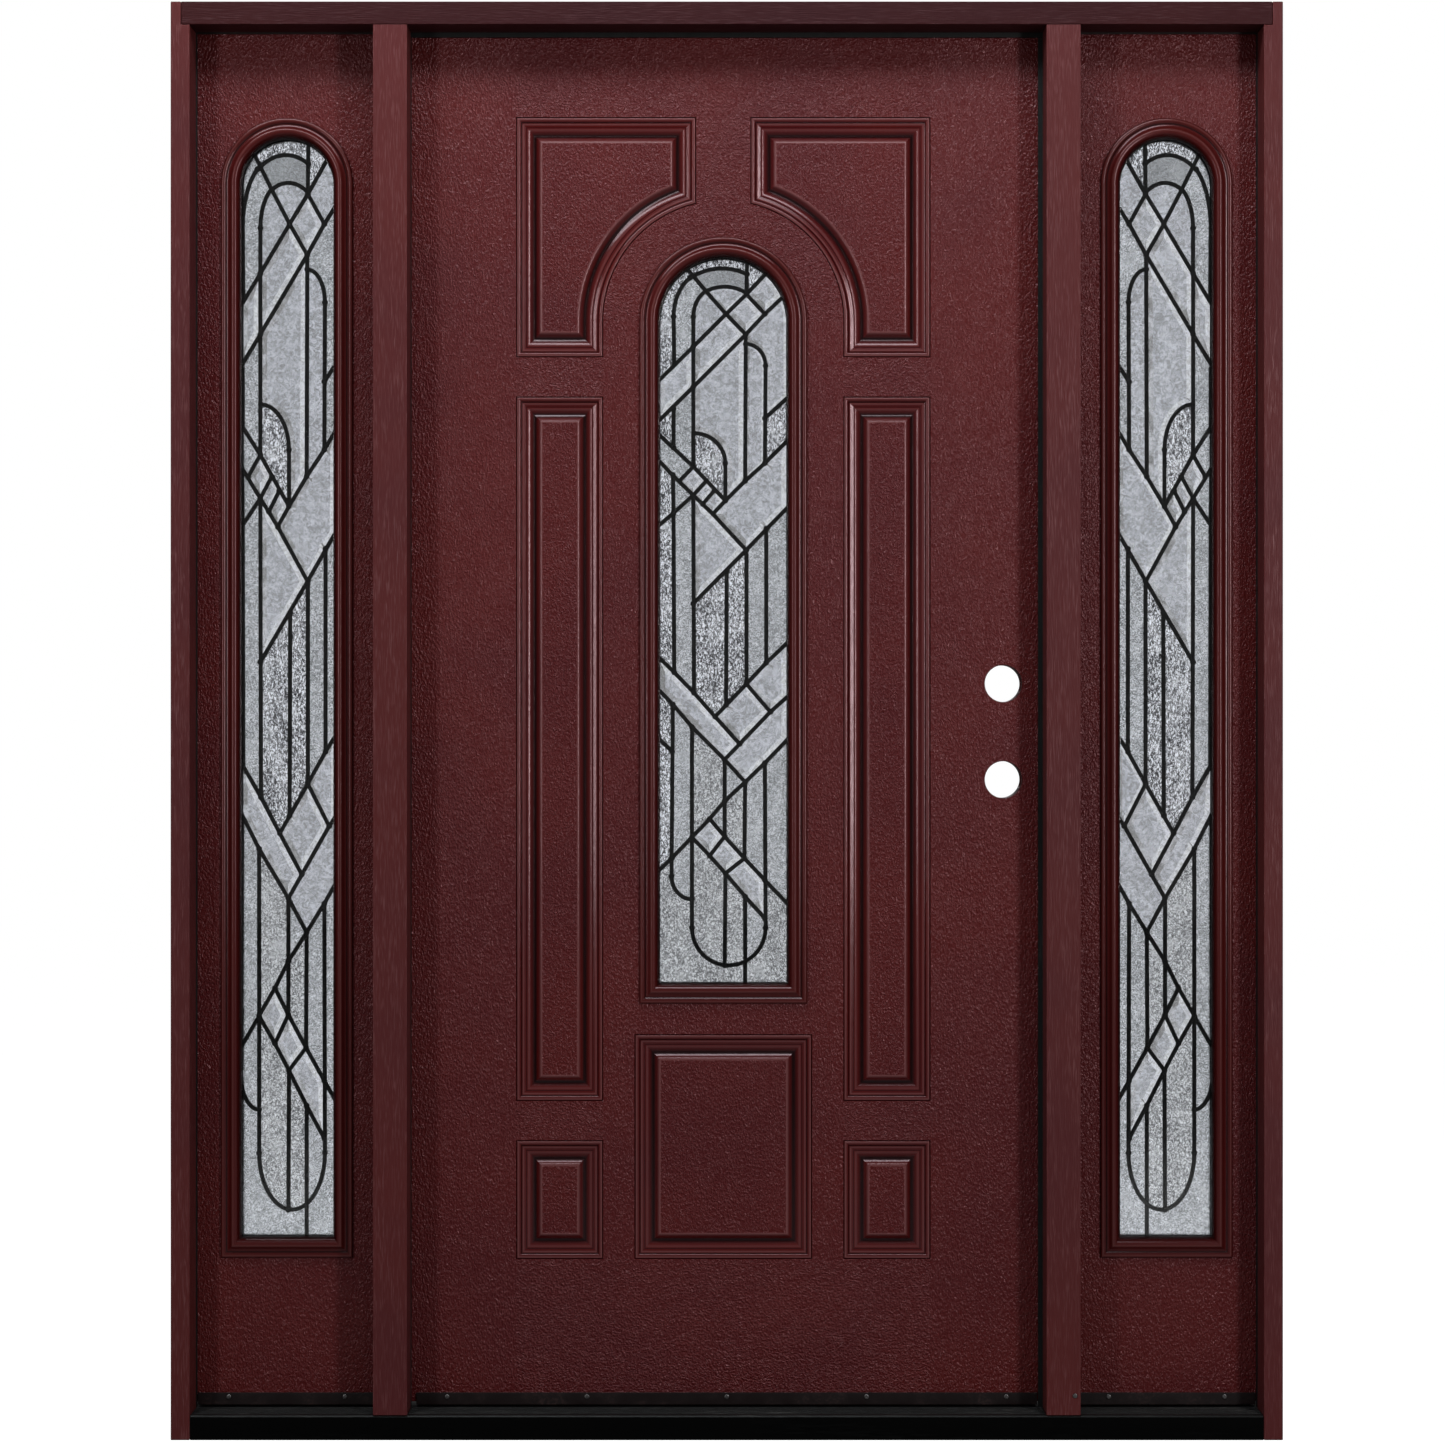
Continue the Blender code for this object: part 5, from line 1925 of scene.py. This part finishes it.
@dataclass
class DoorFrame:
    """Jambs, head, mullions and sill."""

    ease: float = 0.0012
    rib: float = 0.0009
    rib_pitch: float = 0.006
    rib_count: int = 9
    screw_radius: float = 0.0035
    screw_sink: float = 0.0014
    screw_level: float = 0.0639
    screw_shift: float = 0.0165
    bore_steps: int = 32
    to_street: float = -0.9

    def make(self, shop: Workshop) -> None:
        """Eases the frame's pieces and lays the ribs on the sill.

        Args:
            shop: The trees and finishes.
        """
        for node in ("jamb_left", "jamb_right", "mullion_left", "mullion_right", "head_jamb"):
            # The head jamb takes the darker copy of the finish: painted shade.
            finish = "crossways" if node == "head_jamb" else "upright"
            piece = eased_copy(node, node + "_skin", self.ease, shop.materials[finish])
            if node == "mullion_right":
                piece = self.sink_screw(shop, piece)
            settle(piece, "frame", "frame_skin", node)
        sill = eased_copy("sill", "sill_plate", self.ease, shop.materials["sill"])
        # The sill's street face takes the darker copy of its metal: painted shade.
        sill.data.materials.append(shop.materials["sill_front"])
        for polygon in sill.data.polygons:
            if polygon.normal.y < self.to_street:
                polygon.material_index = len(sill.data.materials) - 1
        settle(sill, "frame", "sill_metal", "sill")
        self.make_ribs(shop)
        for node in ("weatherstrip_hinge", "weatherstrip_latch", "weatherstrip_head"):
            dress(node, shop.materials["seal"])

    def sink_screw(self, shop: Workshop, mullion: bpy.types.Object) -> bpy.types.Object:
        """Bores the right mullion's foot and sets a screw in the bore, flush with its face.

        Args:
            shop: The trees and finishes.
            mullion: The mullion.

        Returns:
            The mullion with its bore.
        """
        low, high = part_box("mullion_right")
        x = (low.x + high.x) / 2 + self.screw_shift
        shell = Shell()
        around = circle(x, self.screw_level, self.screw_radius + FIT, self.bore_steps)
        shell.prism(around, on_face(low.y - self.screw_sink), on_face(low.y + self.screw_sink))
        bore = shell.finish("screw_bore", ())
        mullion.modifiers.clear()
        cut = mullion.modifiers.new("Bore", "BOOLEAN")
        cut.solver = "EXACT"
        cut.object = bore
        bored = plain(mullion, "mullion_right_skin")
        bpy.data.objects.remove(bore)
        head = screw_head("mullion_screw_head", self.screw_radius, self.screw_sink - FIT)
        spot = (x, low.y + self.screw_sink, self.screw_level)
        screw = shop.scatter("mullion_screw", head, [spot], TO_STREET, shop.materials["screw"])
        bpy.data.objects.remove(head)
        settle(screw, "frame", "hinge_steel")
        bored.data.set_sharp_from_angle(angle=SMOOTH_BELOW)
        return weighted(bored)

    def make_ribs(self, shop: Workshop) -> None:
        """Lays low grip ribs on the sill's street edge, between the uprights.

        Args:
            shop: The trees and finishes.
        """
        low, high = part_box("sill")
        start = bpy.data.meshes.new("rib_start")
        spans = {"left": (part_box("jamb_left")[1].x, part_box("mullion_left")[0].x),
                 "middle": (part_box("mullion_left")[1].x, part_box("mullion_right")[0].x),
                 "right": (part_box("mullion_right")[1].x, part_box("jamb_right")[0].x)}
        for name, (left, right) in spans.items():
            values = {"Length": right - left - 4 * self.rib, "Pitch": self.rib_pitch,
                      "Count": self.rib_count, "Rib": self.rib, "Finish": shop.materials["sill"]}
            ribs = grown(f"sill_ribs_{name}", start.copy(), shop.trees["ribs"], values)
            place = ((left + right) / 2, low.y + 2 * self.rib_pitch, high.z)
            ribs.data.transform(Matrix.Translation(place))
            settle(ribs, "frame", "sill_metal")


@dataclass
class BottomStrips:
    """The strips along the slabs' bottom edges and their screws."""

    ease: float = 0.0005
    screw_radius: float = 0.0036
    screw_height: float = 0.0012
    inset: float = 0.045
    screw_drop: float = 0.006
    counts: tuple[tuple[str, int], ...] = (("door", 5), ("sidelite_left", 2), ("sidelite_right", 2))

    def make(self, shop: Workshop) -> None:
        """Eases each strip and sets its screws.

        Args:
            shop: The trees and finishes.
        """
        head = screw_head("strip_screw", self.screw_radius, self.screw_height)
        for name, count in self.counts:
            node = name + "_bottom_strip"
            body = "door" if name == "door" else "frame"
            strip = eased_copy(node, name + "_strip", self.ease, shop.materials["strip"])
            settle(strip, body, "bottom_strip", node)
            low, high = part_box(node)
            left, right = low.x + self.inset, high.x - self.inset
            level = high.z - self.screw_drop
            spots = [(left + (right - left) * i / (count - 1), low.y, level) for i in range(count)]
            screws = shop.scatter(f"{name}_strip_screws", head, spots, TO_STREET, shop.materials["screw"])
            settle(screws, body, "hinge_steel")
        bpy.data.objects.remove(head)


# The pin's rounded tips below and above the knuckles: (radius, height from the knuckles' end).
PIN_FOOT = ((0.0022, -0.002), (0.0042, -0.0014), (0.005, 0.0))
PIN_HEAD = ((0.005, 0.0), (0.005, 0.0012), (0.0042, 0.0024), (0.0022, 0.003))


@dataclass
class Hinge:
    """One butt hinge: two leaves with screws, rolled knuckles and a pin."""

    level: str
    knuckles: int = 3
    barrel: float = 0.00588
    pin_out: float = 0.0075
    leaf_thickness: float = 0.0022
    leaf_width: float = 0.031
    reveal: float = 0.0015
    bore: float = 0.0034
    pin: float = 0.003
    ease: float = 0.0004
    steps: int = 32
    screw_radius: float = 0.0042
    screw_height: float = 0.0003
    screw_shares: tuple[float, ...] = (0.14, 0.5, 0.86)
    stagger: float = 0.006

    def __post_init__(self) -> None:
        """Reads the pin's axis and the hinge's height."""
        joint = frame["joints"][0]["pos_m"]
        self.x, self.y = joint[0], joint[1]
        low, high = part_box(f"hinge_{self.level}_frame_leaf")
        self.low = low.z
        self.height = high.z - self.low

    def roll(self, shell: Shell, low: float, high: float) -> None:
        """Adds a knuckle: a ring with eased ends.

        Args:
            shell: The leaf in the making.
            low: The knuckle's lower end.
            high: Its upper end.
        """
        profile = [(self.bore, low), (self.barrel - self.ease, low), (self.barrel, low + self.ease),
                   (self.barrel, high - self.ease), (self.barrel - self.ease, high), (self.bore, high)]
        rings = [shell.ring(circle(self.x, self.y, radius, self.steps), on_plan(height))
                 for radius, height in profile]
        for first, second in zip(rings, rings[1:] + rings[:1]):
            shell.band(first, second)

    def leaf(self, name: str, side: int, first: int) -> bpy.types.Object:
        """A leaf with every other knuckle.

        Args:
            name: The piece's name.
            side: -1 for the leaf on the frame and 1 for the one on the door.
            first: Its first knuckle's number from below.

        Returns:
            The leaf.
        """
        shell = Shell()
        plate = sorted((self.x + side * self.reveal, self.x + side * (self.reveal + self.leaf_thickness)))
        back = self.y - self.pin_out - self.leaf_width
        pitch = self.height / self.knuckles
        plan = rectangle(*plate, back, self.y - self.barrel - FIT)
        top = self.low + self.height
        levels = ((self.ease, self.low), (0, self.low + self.ease), (0, top - self.ease), (self.ease, top))
        rings = [shell.ring(inset(plan, by), on_plan(height)) for by, height in levels]
        for one, two in zip(rings, rings[1:]):
            shell.band(one, two)
        shell.lid(rings[0])
        shell.lid(rings[-1])
        for number in range(first, self.knuckles, 2):
            low = self.low + number * pitch + FIT
            high = low + pitch - 2 * FIT
            self.roll(shell, low, high)
            tab = rectangle(*plate, self.y - self.barrel - 2 * FIT, self.y - self.bore - FIT)
            shell.prism(tab, on_plan(low), on_plan(high))
        return shell.finish(name, ())

    def make(self, shop: Workshop) -> None:
        """Builds the leaves, their screws and the pin.

        Args:
            shop: The trees and finishes.
        """
        steel = shop.materials["hinge"]
        head = screw_head("hinge_screw", self.screw_radius, self.screw_height)
        middle = self.y - self.pin_out - self.leaf_width / 2
        places = []
        for i, share in enumerate(self.screw_shares):
            shift = self.stagger if i == 1 else -self.stagger
            places.append((middle + shift, self.low + self.height * share))
        for key, side, first, body in (("frame", -1, 0, "frame"), ("door", 1, 1, "door")):
            name = f"{self.level}_hinge_{key}_leaf"
            piece = self.leaf(name, side, first)
            piece.data.materials.append(steel)
            settle(piece, body, "hinge_steel", f"hinge_{self.level}_{key}_leaf")
            face = self.x + side * self.reveal
            spots = [(face, y, z) for y, z in places]
            screws = shop.scatter(f"{self.level}_hinge_{key}_screws", head, spots,
                                  (0, -side * math.pi / 2, 0), steel)
            settle(screws, body, "hinge_steel")
        bpy.data.objects.remove(head)
        shell = Shell()
        low, high = -FIT, self.height + FIT
        profile = [(radius, low + up) for radius, up in PIN_FOOT] + [(self.pin, low), (self.pin, high)]
        profile += [(radius, high + up) for radius, up in PIN_HEAD]
        shell.turned(profile, self.steps)
        pin = shell.finish(f"{self.level}_hinge_pin", [steel])
        pin.data.transform(Matrix.Translation((self.x, self.y, self.low)))
        settle(pin, "frame", "hinge_steel", f"hinge_{self.level}_pin")


# Studio

@dataclass(frozen=True)
class Lamp:
    """A soft rectangular lamp."""

    name: str
    place: Place
    aim: Place
    size: tuple[float, float]
    power: float
    colour: Colour = (1.0, 1.0, 1.0)

    def light(self) -> None:
        """Sets the lamp up."""
        data = bpy.data.lights.new(self.name, "AREA")
        data.shape = "RECTANGLE"
        data.size, data.size_y = self.size
        data.energy = self.power
        data.color = self.colour
        lamp = bpy.data.objects.new(self.name, data)
        bpy.context.scene.collection.objects.link(lamp)
        lamp.location = self.place
        lamp.visible_transmission = False
        lamp.rotation_euler = (Vector(self.aim) - Vector(self.place)).to_track_quat("-Z", "Y").to_euler()


LAMPS = (
    Lamp("top_lamp", (-0.3, -1.0, 2.95), (0, 0, 1.6), (2.4, 0.4), 35, (0.84, 0.97, 1.0)),
    Lamp("left_lamp", (-2.1, -3.0, 1.6), (0, 0, 1.2), (0.35, 1.9), 24),
    Lamp("right_lamp", (1.95, -3.0, 1.6), (0, 0, 1.2), (0.35, 1.9), 44),
    Lamp("room_lamp", (0.9, 2.8, 2.6), (0, 0, 1.1), (1.6, 1.2), 45),
)


@dataclass
class Studio:
    """Pale floor, white surroundings, soft lamps and the camera."""

    camera_place: Place = (-0.0062, -5.458, 1.0356)
    lens: float = 93.25
    sensor: float = 36.0
    ambient: float = 0.12
    floor_radius: float = 14.0
    floor_steps: int = 64
    floor_glow: float = 0.95

    def seen(self, bench: NodeBench) -> bpy.types.NodeSocket:
        """Adds the test for rays that look at the surroundings.

        Args:
            bench: The bench that the test is laid on.

        Returns:
            Its result.
        """
        path = bench.add("ShaderNodeLightPath").outputs
        links = {"Camera": path["Is Camera Ray"], "Transmission": path["Is Transmission Ray"],
                 "Diffuse": path["Diffuse Depth"], "Glossy": path["Glossy Depth"]}
        return bench.add("ShaderNodeGroup", links, node_tree=self.seen_tree).outputs["Seen"]

    def make_world(self) -> None:
        """White where it is looked at, dimmer where it lights the door."""
        world = bpy.data.worlds.new("Studio")
        world.use_nodes = True
        bpy.context.scene.world = world
        bench = NodeBench(world.node_tree)
        strength = bench.spread(self.seen(bench), 0.0, 1.0, self.ambient, 1.0)
        bench.feed(world.node_tree.nodes["Background"], {"Color": WHITE, "Strength": strength})

    def make_floor(self) -> None:
        """A wide pale floor under the sill, as white as the surroundings where it is looked at."""
        shell = Shell()
        shell.lid(shell.ring(circle(0, 0, self.floor_radius, self.floor_steps), on_plan(0.0)))
        material, bench, shader = new_material("Studio floor", {
            "Base Color": FLOOR_GREY, "Roughness": 1.0, "Specular IOR Level": 0.0, "Emission Color": WHITE})
        glow = bench.maths("MULTIPLY", self.seen(bench), self.floor_glow)
        bench.feed(shader, {"Emission Strength": glow})
        shell.finish("studio_floor", [material])

    def make_camera(self) -> None:
        """Sets the camera in front of the door, level and square to it."""
        data = bpy.data.cameras.new("Camera")
        data.lens = self.lens
        data.sensor_width = self.sensor
        camera = bpy.data.objects.new("Camera", data)
        bpy.context.scene.collection.objects.link(camera)
        camera.location = self.camera_place
        camera.rotation_euler = TO_STREET
        bpy.context.scene.camera = camera

    def make(self) -> None:
        """Builds the studio."""
        bpy.context.scene.view_settings.view_transform = "Standard"
        self.seen_tree = seen_tree()
        self.make_world()
        self.make_floor()
        for lamp in LAMPS:
            lamp.light()
        self.make_camera()


SIDE_LEAD_WIDTH = 0.1666
SIDE_LEAD_SHIFT = -0.0022


def main() -> None:
    """Builds every piece in order."""
    logging.basicConfig(level=logging.INFO, format="%(message)s")
    shop = Workshop().open()
    door_lite = Lite("door", "door")
    side_lites = [Lite(f"sidelite_{side}", "frame", side == "right", lead_width=SIDE_LEAD_WIDTH,
                       lead_shift=SIDE_LEAD_SHIFT) for side in ("left", "right")]
    DoorSlab(door_lite, PanelLayout()).make(shop)
    for lite in (door_lite, *side_lites):
        lite.make_frames(shop)
        lite.dress_panes(shop)
        LeadedGlass(lite).make(shop)
    for lite in side_lites:
        dress(lite.name + "_slab", shop.materials["stile"])
        dress(lite.name + "_gasket", shop.materials["seal"])
    DoorFrame().make(shop)
    BottomStrips().make(shop)
    for level in HINGE_LEVELS:
        Hinge(level).make(shop)
    Studio().make()


if __name__ == "__main__":
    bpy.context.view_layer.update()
    main()
